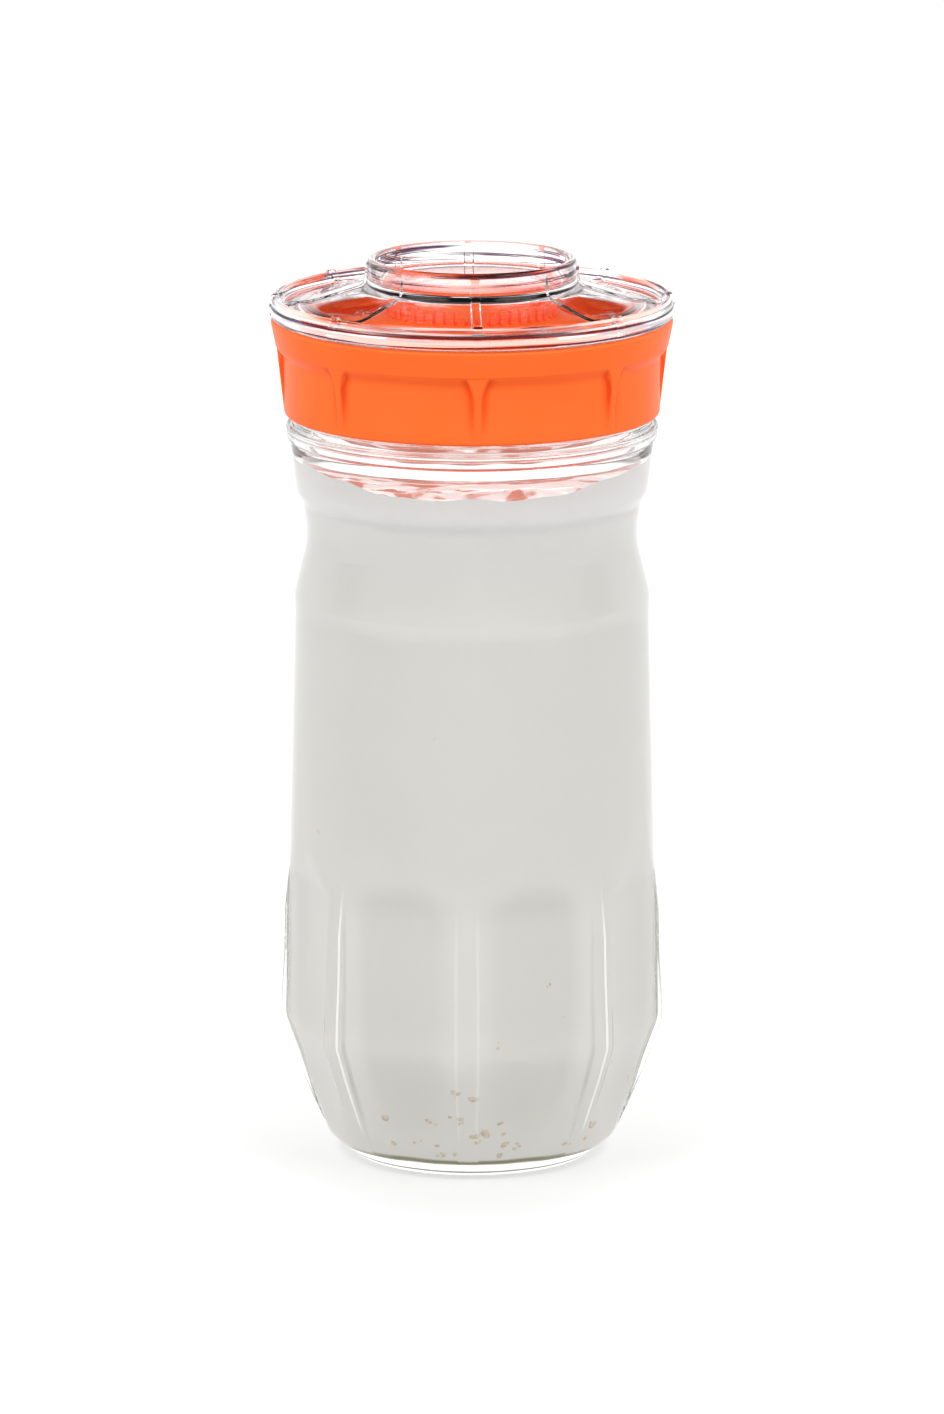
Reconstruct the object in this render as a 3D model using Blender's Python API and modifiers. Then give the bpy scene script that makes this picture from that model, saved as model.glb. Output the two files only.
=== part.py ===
"""Kefir fermentation jar: glass jar, threaded strainer lid, clear screw cap and their seals.

The origin is at the middle of the jar's foot, +Z is up and -Y is the front. Lengths are in metres.
The lid turns and rises on the jar's four-start thread, and the cap does the same on the lid's.
"""

import math

import bmesh
import bpy
from mathutils import Matrix, Vector

# Fineness
TURN_STEPS = 48
ARC_STEP = math.radians(62.0)
SMALL_FILLET = 0.0009
MERGE = 0.00001

# Clearances
TOUCH_GAP = 0.0003
THREAD_GAP = 0.0005
EMBED = 0.0005

# Glass jar: foot, body and neck
FOOT_RADIUS = 0.0345
FOOT_RING_WIDTH = 0.0040
PUSH_UP = 0.0030
HEEL_RADIUS = 0.0408
HEEL_HEIGHT = 0.0052
TAPER_TOP_RADIUS = 0.0523
TAPER_TOP_HEIGHT = 0.0375
BODY_LOW_RADIUS = 0.0513
BODY_LOW_HEIGHT = 0.0800
BODY_RADIUS = 0.0494
BODY_HEIGHT = 0.1540
CREST_RADIUS = 0.0496
CREST_HEIGHT = 0.1594
WAIST_RADIUS = 0.0457
WAIST_HEIGHT = 0.1755
CHEST_STEP_RADIUS = 0.0471
CHEST_STEP_HEIGHT = 0.1858
CHEST_RADIUS = 0.0489
CHEST_HEIGHT = 0.1890
COLLAR_FOOT_RADIUS = 0.0506
COLLAR_BOTTOM = 0.2036
COLLAR_HEIGHT = 0.0040
COLLAR_STEP = 0.0016
NECK_RADIUS = 0.0482
NECK_HEIGHT = 0.0144
NECK_FOOT_STEP = 0.0019
NECK_FOOT_HEIGHT = 0.0024
GLASS_WALL = 0.0032
BODY_WALL = 0.0052
FLOOR_GLASS = 0.0026
INNER_HEEL_FILLET = 0.0025
FLOOR_DISH = 0.0006
FOOT_BEVEL_RUN = 0.0020
FOOT_BEVEL_RISE = 0.0014
CHEST_SHELF = 0.0008
CHEST_SHELF_DROP = 0.0040
SHOULDER_FILLET = 0.0035
WAIST_FILLET = 0.0220
TAPER_FILLET = 0.0060
HEEL_FILLET = 0.0050
CHEST_FILLET = 0.0015
CHEST_STEP_FILLET = 0.0025
INNER_FILLET = 0.0060
INNER_WAIST_FILLET = 0.0200
INNER_TAPER_FILLET = 0.0100
BRIM_FILLET = 0.0014
COLLAR_FILLET = 0.0014
FINE_EDGE = 0.0004

# Panels and ribs of the jar's lower body
PANELS = 8
JAR_TURN = math.radians(-1.5)
PANEL_TOP = 0.1080
PANEL_FULL = 0.0820
PANEL_LOW = 0.0240
RIB_TOP = 0.0800
RIB_FULL = 0.0690
RIB_HEIGHT_HIGH = 0.0010
RIB_HEIGHT_LOW = 0.0016
RIB_TOP_HALF_ANGLE = math.radians(3.0)
RIB_FOOT_HALF_ANGLE = math.radians(4.6)

# Kefir
KEFIR_LEVEL = 0.1938

# Strainer lid
LID_WALL = 0.0017
LID_DECK = 0.0022
SKIRT_DROP = 0.0002
SKIRT_DRAFT = 0.0002
LID_BAND_WALL = 0.0035
LID_BAND_TAPER = 0.0014
LID_BAND_HEIGHT = 0.0069
LID_STEP_HEIGHT = 0.0031
WELL_STEP = 0.0005
SOFT_EDGE = 0.0006
LID_PANEL_FILLET = 0.0026
SKIRT_CORNER = 0.0018
WELL_DEPTH = 0.0081
WELL_FLOOR_WIDTH = 0.0054
DECK_FILLET = 0.0060
SEAT_WIDTH = 0.0044
LID_RIBS = 8
LID_TURN = math.radians(1.7)
LID_RIB_WIDTH_TOP = 0.0030
LID_RIB_WIDTH_FOOT = 0.0012
LID_RIB_FADE = 0.0001

# Strainer and citrus press in the middle of the lid
PRESS_RISE = 0.0157
PRESS_TIP_RADIUS = 0.0045
PRESS_FOOT_RADIUS = 0.0175
PRESS_HEIGHT = 0.0062
PRESS_DOME = 0.0004
PRESS_TIP_FILLET = 0.0060
PRESS_FOOT_FILLET = 0.0010
PRESS_FLUTES = 8
FLUTE_TIP_RADIUS = 0.0016
FLUTE_FOOT_RADIUS = 0.0030
FLUTE_DEPTH = 0.0005
FLUTE_SPAN = 0.78
GUTTER_WIDTH = 0.0033
CROWN_WIDTH = 0.0027
CROWN_HEIGHT = 0.0033
CROWN_DRAFT = 0.0002
SLOTS = TURN_STEPS
SLOT_WIDTH = 0.0010
SLOT_OVERRUN = 0.0010
SLOT_INSET = 0.0010

# Clear cap
CAP_SKIRT_WALL = 0.0022
CAP_SKIRT_GAP = 0.0018
CAP_SKIRT_HEIGHT = 0.0065
RIM_OVERHANG = 0.0001
RIM_HEIGHT = 0.0039
RIM_DRAFT = 0.0002
RIM_LIP_WIDTH = 0.0013
RIM_LIP_FALL = 0.0002
RIM_BEAD = 0.0026
RIM_BEVEL_RUN = 0.0010
RIM_BEVEL_DROP = 0.0030
RIM_WIDTH = 0.0033
DECK_THICKNESS = 0.0019
DECK_RISE = 0.0052
DECK_BEND_SHARE = 0.64
DECK_BEND_RISE = 0.0008
CUP_FLOOR_RISE = 0.0010
CUP_RADIUS = 0.0291
CUP_WALL = 0.0027
CUP_HEIGHT = 0.0068
CUP_FLOOR = 0.0020
CUP_DRAFT = 0.0003
CUP_FOOT_FILLET = 0.0012
CUP_LIP_FILLET = 0.0010
CUP_OUTER_FILLET = 0.0026
CAP_SKIRT_FILLET = 0.0015
CAP_RIBS = 8
CAP_RIB_WIDTH = 0.0026
CAP_RIB_HEIGHT = 0.0006
CAP_RIB_RIM_HEIGHT = 0.0002
CAP_RIB_DROP = 0.0024
CAP_RIB_SPREAD = 0.0022

# Seals
GASKET_THICKNESS = 0.0015
GASKET_INSET = 0.0003
SEAL_THICKNESS = 0.0013

# Threads: four starts each, right-handed
STARTS = 4
NECK_LEAD = 0.0240
NECK_RIDGE_DEPTH = 0.0015
NECK_RIDGE_HEIGHT = 0.0022
NECK_RIDGE_SWEEP = math.radians(82.5)
NECK_RIDGE_LOW = 0.0027
LUG_SWEEP = math.radians(22.5)
CAP_LEAD = 0.0160
CAP_RIDGE_HEIGHT = 0.0014
CAP_RIDGE_SWEEP = math.radians(52.5)
CAP_RIDGE_LOW = 0.0033
THREAD_FLANK = 0.0004

# Heights and radii that follow from the sizes above
NECK_FOOT_RADIUS = NECK_RADIUS + NECK_FOOT_STEP
COLLAR_RADIUS = NECK_FOOT_RADIUS + COLLAR_STEP
COLLAR_TOP = COLLAR_BOTTOM + COLLAR_HEIGHT
NECK_FOOT_TOP = COLLAR_TOP + NECK_FOOT_HEIGHT
BRIM = NECK_FOOT_TOP + NECK_HEIGHT
NECK_BORE = NECK_RADIUS - GLASS_WALL
SKIRT_BOTTOM = NECK_FOOT_TOP + TOUCH_GAP + SKIRT_DROP
NECK_RIDGE_RADIUS = NECK_RADIUS + NECK_RIDGE_DEPTH
SKIRT_BORE = NECK_RIDGE_RADIUS + THREAD_GAP
SKIRT_RADIUS = SKIRT_BORE + LID_WALL
LUG_TIP_RADIUS = NECK_RADIUS + THREAD_GAP
GASKET_BOTTOM = BRIM + TOUCH_GAP
SEAT = GASKET_BOTTOM + GASKET_THICKNESS + TOUCH_GAP
WELL_FLOOR = SEAT + LID_DECK
LID_TOP = WELL_FLOOR + WELL_DEPTH
WELL_RADIUS = SKIRT_RADIUS + WELL_STEP
LID_BAND_RADIUS = WELL_RADIUS + LID_BAND_WALL
LID_BAND_LOW_RADIUS = LID_BAND_RADIUS - LID_BAND_TAPER
WELL_FLOOR_INNER = WELL_RADIUS - WELL_FLOOR_WIDTH
SEAT_INNER = SKIRT_BORE - SEAT_WIDTH
GUTTER = WELL_FLOOR + PRESS_RISE - PRESS_HEIGHT
PRESS_TOP = GUTTER + PRESS_HEIGHT
CROWN_INNER_RADIUS = PRESS_FOOT_RADIUS + GUTTER_WIDTH
CROWN_RADIUS = CROWN_INNER_RADIUS + CROWN_WIDTH
CAP_BOTTOM = LID_TOP + TOUCH_GAP
CAP_SKIRT_RADIUS = WELL_RADIUS - CAP_SKIRT_GAP
CAP_SKIRT_BORE = CAP_SKIRT_RADIUS - CAP_SKIRT_WALL
CAP_SKIRT_BOTTOM = CAP_BOTTOM - CAP_SKIRT_HEIGHT
RIM_RADIUS = LID_BAND_RADIUS + RIM_OVERHANG
RIM_TOP = CAP_BOTTOM + RIM_HEIGHT
DECK_EDGE_RADIUS = RIM_RADIUS - RIM_WIDTH
DECK_BEND_RADIUS = CUP_RADIUS + (DECK_EDGE_RADIUS - CUP_RADIUS) * DECK_BEND_SHARE
DECK_BEND = RIM_TOP + DECK_BEND_RISE
DECK_TOP = RIM_TOP + DECK_RISE
CUP_FLOOR_TOP = DECK_TOP + CUP_FLOOR_RISE
CUP_TOP = CUP_FLOOR_TOP + CUP_HEIGHT
SEAL_BOTTOM = WELL_FLOOR + TOUCH_GAP
CAP_LUG_RADIUS = WELL_RADIUS - THREAD_GAP
CAP_RIDGE_RADIUS = CAP_SKIRT_RADIUS + THREAD_GAP


def clear_scene():
    """Remove every object that the file starts with."""
    for item in list(bpy.data.objects):
        bpy.data.objects.remove(item, do_unlink=True)


def new_collection(name):
    """Make a collection in the scene."""
    collection = bpy.data.collections.new(name)
    bpy.context.scene.collection.children.link(collection)
    return collection


def new_object(name, mesh, collection):
    """Put a mesh in a collection under a name."""
    item = bpy.data.objects.new(name, mesh)
    collection.objects.link(item)
    return item


def new_material(name, color, roughness, transmission=0.0):
    """Make a Principled material."""
    material = bpy.data.materials.new(name)
    material.use_nodes = True
    shader = material.node_tree.nodes["Principled BSDF"]
    shader.inputs["Base Color"].default_value = (*color, 1.0)
    shader.inputs["Roughness"].default_value = roughness
    shader.inputs["Metallic"].default_value = 0.0
    shader.inputs["Transmission Weight"].default_value = transmission
    return material


def arc_points(corner, before, after, fillet):
    """Round one corner of an outline with an arc of short chords."""
    back = (before - corner).normalized()
    ahead = (after - corner).normalized()
    turn = math.pi - back.angle(ahead)
    if turn < math.radians(2.0):
        return [corner]
    room = 0.49 * min((before - corner).length, (after - corner).length)
    reach = min(fillet * math.tan(turn / 2.0), room)
    radius = reach / math.tan(turn / 2.0)
    middle = corner + (back + ahead).normalized() * (radius / math.cos(turn / 2.0))
    start = corner + back * reach - middle
    end = corner + ahead * reach - middle
    count = 1 if fillet < SMALL_FILLET else math.ceil(turn / ARC_STEP)
    sweep = start.angle_signed(end)
    points = []
    for index in range(count + 1):
        angle = -sweep * index / count
        points.append(middle + Matrix.Rotation(angle, 2) @ start)
    return points


def rounded(corners, closed=False):
    """Turn corners of (radius, height, fillet) into an outline with arcs at the fillets."""
    spots = [Vector(corner[:2]) for corner in corners]
    count = len(spots)
    points = []
    for index, corner in enumerate(corners):
        inner = closed or 0 < index < count - 1
        if corner[2] > 0.0 and inner:
            before = spots[index - 1]
            after = spots[(index + 1) % count]
            points.extend(arc_points(spots[index], before, after, corner[2]))
        else:
            points.append(spots[index])
    return points


def turned(name, outline, collection, closed=False):
    """Turn an outline of (radius, height) points about Z with a Screw modifier."""
    mesh = bpy.data.meshes.new(name)
    vertices = [(point[0], 0.0, point[1]) for point in outline]
    edges = [(index, index + 1) for index in range(len(vertices) - 1)]
    if closed:
        edges.append((len(vertices) - 1, 0))
    mesh.from_pydata(vertices, edges, [])
    item = new_object(name, mesh, collection)
    screw = item.modifiers.new("Turn", "SCREW")
    screw.axis = "Z"
    screw.steps = TURN_STEPS
    screw.render_steps = TURN_STEPS
    screw.use_merge_vertices = True
    screw.merge_threshold = MERGE
    return item


def smoothstep(low, high, value):
    """Ease from 0 at low to 1 at high."""
    share = max(0.0, min(1.0, (value - low) / (high - low)))
    return share * share * (3.0 - 2.0 * share)


def helix_rib(mesh, root, tip, height, low, lead, start, sweep):
    """Add a short helical rib, tapered at both ends, from its root radius to its tip radius."""
    step = math.tau / TURN_STEPS
    count = max(2, round(sweep / step))
    step = sweep / count
    flank = THREAD_FLANK
    rings = []
    for index in range(count + 1):
        angle = start + step * index
        rise = low + lead * step * index / math.tau
        edge = index in (0, count)
        crest = root + (tip - root) * (0.35 if edge else 1.0)
        ring = []
        for radius, side in ((root, -0.5), (crest, -0.5), (crest, 0.5), (root, 0.5)):
            inset = flank if radius == crest else 0.0
            level = rise + side * (height - 2.0 * inset)
            spot = (radius * math.cos(angle), radius * math.sin(angle), level)
            ring.append(mesh.verts.new(spot))
        rings.append(ring)
    for ring, following in zip(rings, rings[1:]):
        for corner in range(4):
            after = (corner + 1) % 4
            mesh.faces.new((ring[corner], ring[after], following[after], following[corner]))
    mesh.faces.new(rings[0][::-1])
    mesh.faces.new(rings[-1])


def thread(name, collection, root, tip, height, low, lead, first, sweep):
    """Make one helical rib for each start of a thread."""
    mesh = bmesh.new()
    for start in range(STARTS):
        angle = first + math.tau * start / STARTS
        helix_rib(mesh, root, tip, height, low, lead, angle, sweep)
    bmesh.ops.recalc_face_normals(mesh, faces=mesh.faces[:])
    data = bpy.data.meshes.new(name)
    mesh.to_mesh(data)
    mesh.free()
    return new_object(name, data, collection)


def combine(item, tool, operation):
    """Join a tool object to an item, or cut it out, with a Boolean modifier."""
    tool.hide_render = True
    tool.display_type = "WIRE"
    boolean = item.modifiers.new(tool.name, "BOOLEAN")
    boolean.operation = operation
    boolean.solver = "EXACT"
    boolean.object = tool


def finish(item, material, angle=math.radians(35.0)):
    """Give an item its material and smooth its round faces."""
    item.data.materials.append(material)
    item.data.shade_smooth()
    item.data.set_sharp_from_angle(angle=angle)


def jar_outer_corners():
    """Outline of the jar's outside, from the brim down to the foot."""
    return [
        (NECK_RADIUS, BRIM, BRIM_FILLET),
        (NECK_RADIUS, NECK_FOOT_TOP, 0.0),
        (NECK_FOOT_RADIUS, NECK_FOOT_TOP, FINE_EDGE),
        (NECK_FOOT_RADIUS, COLLAR_TOP, 0.0),
        (COLLAR_RADIUS, COLLAR_TOP, COLLAR_FILLET),
        (COLLAR_RADIUS, COLLAR_BOTTOM, COLLAR_FILLET),
        (COLLAR_FOOT_RADIUS, COLLAR_BOTTOM, 0.0),
        (CHEST_RADIUS, CHEST_HEIGHT, CHEST_FILLET),
        (CHEST_STEP_RADIUS, CHEST_STEP_HEIGHT, CHEST_STEP_FILLET),
        (WAIST_RADIUS, WAIST_HEIGHT, WAIST_FILLET),
        (CREST_RADIUS, CREST_HEIGHT, SHOULDER_FILLET),
        (BODY_RADIUS, BODY_HEIGHT, 0.0),
        (body_radius_at(PANEL_TOP), PANEL_TOP, 0.0),
        (body_radius_at(0.5 * (PANEL_TOP + PANEL_FULL)), 0.5 * (PANEL_TOP + PANEL_FULL), 0.0),
        (BODY_LOW_RADIUS, BODY_LOW_HEIGHT, 0.0),
        (body_radius_at(RIB_FULL), RIB_FULL, 0.0),
        (TAPER_TOP_RADIUS, TAPER_TOP_HEIGHT, TAPER_FILLET),
        (0.5 * (TAPER_TOP_RADIUS + HEEL_RADIUS), 0.5 * (TAPER_TOP_HEIGHT + HEEL_HEIGHT), 0.0),
        (HEEL_RADIUS, HEEL_HEIGHT, HEEL_FILLET),
        (FOOT_RADIUS, 0.0, 0.0),
    ]


def body_radius_at(height):
    """Radius across the jar's body between its foot taper and its shoulder."""
    if height >= BODY_LOW_HEIGHT:
        share = (height - BODY_LOW_HEIGHT) / (BODY_HEIGHT - BODY_LOW_HEIGHT)
        return BODY_LOW_RADIUS + share * (BODY_RADIUS - BODY_LOW_RADIUS)
    share = (height - TAPER_TOP_HEIGHT) / (BODY_LOW_HEIGHT - TAPER_TOP_HEIGHT)
    return TAPER_TOP_RADIUS + share * (BODY_LOW_RADIUS - TAPER_TOP_RADIUS)


def jar_inner_corners(shrink=0.0):
    """Outline of the jar's inside, from the floor's middle up to the brim."""
    floor = PUSH_UP + FLOOR_GLASS + shrink
    flat = math.cos(math.pi / PANELS - RIB_FOOT_HALF_ANGLE)
    heel = HEEL_RADIUS * flat - GLASS_WALL - shrink
    return [
        (0.0, floor, 0.0),
        (heel, floor - FLOOR_DISH, INNER_HEEL_FILLET),
        (TAPER_TOP_RADIUS * flat - GLASS_WALL - shrink, TAPER_TOP_HEIGHT, INNER_TAPER_FILLET),
        (BODY_LOW_RADIUS - BODY_WALL - shrink, BODY_LOW_HEIGHT, 0.0),
        (BODY_RADIUS - GLASS_WALL - shrink, BODY_HEIGHT, INNER_FILLET),
        (WAIST_RADIUS - GLASS_WALL - shrink, WAIST_HEIGHT, INNER_WAIST_FILLET),
        (CHEST_RADIUS - GLASS_WALL - shrink, CHEST_HEIGHT, INNER_FILLET),
        (CHEST_RADIUS - GLASS_WALL + CHEST_SHELF - shrink, COLLAR_BOTTOM - CHEST_SHELF_DROP, INNER_FILLET),
        (NECK_BORE, COLLAR_TOP, SHOULDER_FILLET),
        (NECK_BORE, BRIM, BRIM_FILLET),
    ]


def panel_strength(height):
    """Share of the flat panels in the jar's outline: none above them, none at the heel."""
    fade_in = 1.0 - smoothstep(PANEL_FULL, PANEL_TOP, height)
    return fade_in * smoothstep(0.0, PANEL_LOW, height)


def rib_rise(height):
    """How far the jar's ribs stand out at a height."""
    if height > TAPER_TOP_HEIGHT:
        share = (height - TAPER_TOP_HEIGHT) / (RIB_FULL - TAPER_TOP_HEIGHT)
        rise = RIB_HEIGHT_LOW + (RIB_HEIGHT_HIGH - RIB_HEIGHT_LOW) * min(1.0, share)
        return rise * (1.0 - smoothstep(RIB_FULL, RIB_TOP, height))
    return RIB_HEIGHT_LOW * smoothstep(HEEL_HEIGHT, TAPER_TOP_HEIGHT, height)


def jar_angles():
    """Angles of the jar's columns: the ribs' edges and feet, and the panels between them."""
    pitch = math.tau / PANELS
    room = pitch / 2.0 - RIB_FOOT_HALF_ANGLE
    marks = [-RIB_TOP_HALF_ANGLE, RIB_TOP_HALF_ANGLE, RIB_FOOT_HALF_ANGLE]
    marks += [pitch / 2.0 - room / 2.0, pitch / 2.0, pitch / 2.0 + room / 2.0]
    marks.append(pitch - RIB_FOOT_HALF_ANGLE)
    front = -math.pi / 2.0 + JAR_TURN
    return [(front + pitch * rib, mark) for rib in range(PANELS) for mark in marks]


def jar_section(radius, height, mark):
    """Radius of the jar's outside at an angle from a rib's middle."""
    pitch = math.tau / PANELS
    half = pitch / 2.0
    from_rib = abs(mark) if abs(mark) <= half else pitch - abs(mark)
    flat = radius * math.cos(half - RIB_FOOT_HALF_ANGLE)
    across = flat / math.cos(max(0.0, half - max(from_rib, RIB_FOOT_HALF_ANGLE)))
    strength = panel_strength(height)
    rib = rib_rise(height) if from_rib <= RIB_TOP_HALF_ANGLE + 0.001 else 0.0
    return radius + strength * (across - radius) + rib


def build_jar(collection, tools, material):
    """Glass jar: a loft from the round foot through the eight-sided body to the round neck."""
    outer = rounded([(NECK_RADIUS - GLASS_WALL * 0.5, BRIM, 0.0)] + jar_outer_corners())
    ring_bore = FOOT_RADIUS - FOOT_RING_WIDTH
    foot = [(ring_bore, 0.0), (ring_bore - FOOT_BEVEL_RUN, FOOT_BEVEL_RISE)]
    inner = rounded(jar_inner_corners() + [(NECK_RADIUS - GLASS_WALL * 0.5, BRIM, 0.0)])
    angles = jar_angles()
    mesh = bmesh.new()
    rings = []
    for point in outer:
        rings.append([(jar_section(point[0], point[1], mark), point[1]) for _, mark in angles])
    for point in foot:
        rings.append([point] * len(angles))
    inner_rings = [[(point[0], point[1])] * len(angles) for point in inner[1:-1]]
    loops = []
    for ring in rings + inner_rings:
        loop = []
        for (base, mark), (radius, level) in zip(angles, ring):
            angle = base + mark
            loop.append(mesh.verts.new((radius * math.cos(angle), radius * math.sin(angle), level)))
        loops.append(loop)
    underside = mesh.verts.new((0.0, 0.0, PUSH_UP))
    floor = mesh.verts.new((0.0, 0.0, inner[0][1]))
    last_outer = len(rings) - 1
    for index in range(len(loops)):
        if index == last_outer:
            continue
        following = loops[(index + 1) % len(loops)]
        bridge(mesh, loops[index], following)
    fan(mesh, loops[last_outer], underside)
    fan(mesh, loops[last_outer + 1], floor)
    bmesh.ops.recalc_face_normals(mesh, faces=mesh.faces[:])
    data = bpy.data.meshes.new("glass_jar")
    mesh.to_mesh(data)
    mesh.free()
    jar = new_object("glass_jar", data, collection)
    low = NECK_FOOT_TOP + NECK_RIDGE_LOW
    ridges = thread("neck_ridges", tools, NECK_RADIUS - EMBED, NECK_RIDGE_RADIUS, NECK_RIDGE_HEIGHT,
                    low, NECK_LEAD, 0.0, NECK_RIDGE_SWEEP)
    combine(jar, ridges, "UNION")
    finish(jar, material)
    return jar


def bridge(mesh, loop, following):
    """Join two rings of vertices with a band of quads."""
    count = len(loop)
    for index in range(count):
        after = (index + 1) % count
        mesh.faces.new((loop[index], loop[after], following[after], following[index]))


def fan(mesh, loop, middle):
    """Close a ring of vertices with triangles around its middle."""
    count = len(loop)
    for index in range(count):
        mesh.faces.new((loop[index], loop[(index + 1) % count], middle))


def build_kefir(collection, material):
    """The jar's contents, up to the level line."""
    wall = rounded(jar_inner_corners(TOUCH_GAP))
    side = [point for point in wall if point[1] < KEFIR_LEVEL - EMBED]
    below = side[-1]
    above = next(point for point in wall if point[1] >= KEFIR_LEVEL - EMBED)
    share = (KEFIR_LEVEL - below[1]) / (above[1] - below[1])
    edge = below[0] + share * (above[0] - below[0])
    outline = [Vector((0.0, KEFIR_LEVEL)), Vector((edge, KEFIR_LEVEL))] + side[::-1]
    fill = turned("kefir_fill", outline, collection)
    finish(fill, material)
    return fill


def build_ring(name, inner, outer, bottom, thickness, collection, material):
    """Flat sealing ring with rounded edges."""
    fillet = thickness * 0.3
    top = bottom + thickness
    corners = [
        (outer, top, fillet),
        (outer, bottom, fillet),
        (inner, bottom, fillet),
        (inner, top, fillet),
    ]
    ring = turned(name, rounded(corners, closed=True), collection, closed=True)
    finish(ring, material)
    return ring


def lid_outline():
    """Outline of the lid: press, gutter, crown, deck, well, band, skirt and underside."""
    band_low = LID_TOP - LID_BAND_HEIGHT
    return rounded([
        (0.0, PRESS_TOP, 0.0),
        (PRESS_TIP_RADIUS, PRESS_TOP - PRESS_DOME, PRESS_TIP_FILLET),
        (PRESS_FOOT_RADIUS, GUTTER, PRESS_FOOT_FILLET),
        (CROWN_INNER_RADIUS, GUTTER, 0.0),
        (CROWN_INNER_RADIUS + CROWN_DRAFT, GUTTER + CROWN_HEIGHT, 0.0),
        (CROWN_RADIUS - CROWN_DRAFT, GUTTER + CROWN_HEIGHT, 0.0),
        (CROWN_RADIUS, GUTTER, 0.0),
        (WELL_FLOOR_INNER, WELL_FLOOR, DECK_FILLET),
        (WELL_RADIUS, WELL_FLOOR, FINE_EDGE),
        (WELL_RADIUS, LID_TOP, FINE_EDGE),
        (LID_BAND_RADIUS, LID_TOP, SOFT_EDGE),
        (LID_BAND_LOW_RADIUS, band_low, SOFT_EDGE),
        (SKIRT_RADIUS + SKIRT_DRAFT, band_low - LID_STEP_HEIGHT, LID_PANEL_FILLET),
        (SKIRT_RADIUS, SKIRT_BOTTOM, SKIRT_CORNER),
        (SKIRT_BORE, SKIRT_BOTTOM, FINE_EDGE),
        (SKIRT_BORE, SEAT, FINE_EDGE),
        (SEAT_INNER, SEAT, DECK_FILLET * 0.5),
        (CROWN_RADIUS + LID_DECK, GUTTER - LID_DECK, LID_DECK),
        (PRESS_FOOT_RADIUS, GUTTER - LID_DECK, PRESS_FOOT_FILLET),
        (PRESS_TIP_RADIUS, PRESS_TOP - LID_DECK - PRESS_DOME, PRESS_TIP_FILLET),
        (0.0, PRESS_TOP - LID_DECK, 0.0),
    ])


def ribs_about_axis(name, tools, outline, count, width_at):
    """Stand an outline of (radius, height) points up as a rib, and repeat it about Z."""
    mesh = bmesh.new()
    for rib in range(count):
        turn = Matrix.Rotation(math.tau * rib / count - math.pi / 2.0 + LID_TURN, 4, "Z")
        sides = []
        for side in (-0.5, 0.5):
            spots = [Vector((radius, side * width_at(height), height)) for radius, height in outline]
            sides.append([mesh.verts.new(turn @ spot) for spot in spots])
        near, far = sides
        mesh.faces.new(near[::-1])
        mesh.faces.new(far)
        bridge(mesh, near, far)
    bmesh.ops.recalc_face_normals(mesh, faces=mesh.faces[:])
    data = bpy.data.meshes.new(name)
    mesh.to_mesh(data)
    mesh.free()
    return new_object(name, data, tools)


def lid_ribs(tools):
    """Eight ribs down the lid's skirt, wide and proud at the top and faded out at the foot."""
    top = LID_TOP - LID_BAND_HEIGHT
    foot = SKIRT_BOTTOM + SKIRT_CORNER
    inside = SKIRT_RADIUS - EMBED
    outline = [
        (inside, foot),
        (SKIRT_RADIUS + LID_RIB_FADE, foot),
        (LID_BAND_LOW_RADIUS - LID_RIB_FADE, top),
        (WELL_RADIUS + EMBED, top + EMBED),
        (WELL_RADIUS + EMBED, WELL_FLOOR - EMBED),
        (inside, WELL_FLOOR - EMBED),
    ]

    def width_at(height):
        share = (height - foot) / (top - foot)
        return LID_RIB_WIDTH_FOOT + share * (LID_RIB_WIDTH_TOP - LID_RIB_WIDTH_FOOT)

    return ribs_about_axis("lid_ribs", tools, outline, LID_RIBS, width_at)


def strainer_slots(tools):
    """Radial slots through the gutter and the crown around the press."""
    mesh = bmesh.new()
    inner = PRESS_FOOT_RADIUS + SLOT_INSET
    outer = CROWN_RADIUS + SLOT_OVERRUN
    low = GUTTER - LID_DECK * 2.0
    high = GUTTER + CROWN_HEIGHT * 1.5
    size = Matrix.Diagonal((outer - inner, SLOT_WIDTH, high - low, 1.0))
    place = Matrix.Translation(((outer + inner) / 2.0, 0.0, (high + low) / 2.0))
    for slot in range(SLOTS):
        turn = Matrix.Rotation(math.tau * (slot + 0.5) / SLOTS, 4, "Z")
        bmesh.ops.create_cube(mesh, size=1.0, matrix=turn @ place @ size)
    data = bpy.data.meshes.new("strainer_slots")
    mesh.to_mesh(data)
    mesh.free()
    return new_object("strainer_slots", data, tools)


def press_flutes(tools):
    """Round-bottomed flutes down the press, deeper towards its foot, cut by tilted cones."""
    mesh = bmesh.new()
    fall = PRESS_HEIGHT - PRESS_DOME
    run = PRESS_FOOT_RADIUS - PRESS_TIP_RADIUS
    slope = math.atan2(fall, run)
    length = FLUTE_SPAN * math.hypot(fall, run)
    middle = Vector((0.5 * (PRESS_FOOT_RADIUS + PRESS_TIP_RADIUS), 0.0, GUTTER + fall / 2.0))
    lift = 0.5 * (FLUTE_TIP_RADIUS + FLUTE_FOOT_RADIUS) - FLUTE_DEPTH
    middle += Vector((math.sin(slope), 0.0, math.cos(slope))) * lift
    for flute in range(PRESS_FLUTES):
        turn = Matrix.Rotation(math.tau * (flute + 0.5) / PRESS_FLUTES - math.pi / 2.0, 4, "Z")
        tilt = Matrix.Rotation(math.pi / 2.0 + slope, 4, "Y")
        bmesh.ops.create_cone(mesh, cap_ends=True, segments=12, radius1=FLUTE_TIP_RADIUS,
                              radius2=FLUTE_FOOT_RADIUS, depth=length,
                              matrix=turn @ Matrix.Translation(middle) @ tilt)
    data = bpy.data.meshes.new("press_flutes")
    mesh.to_mesh(data)
    mesh.free()
    return new_object("press_flutes", data, tools)


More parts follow.
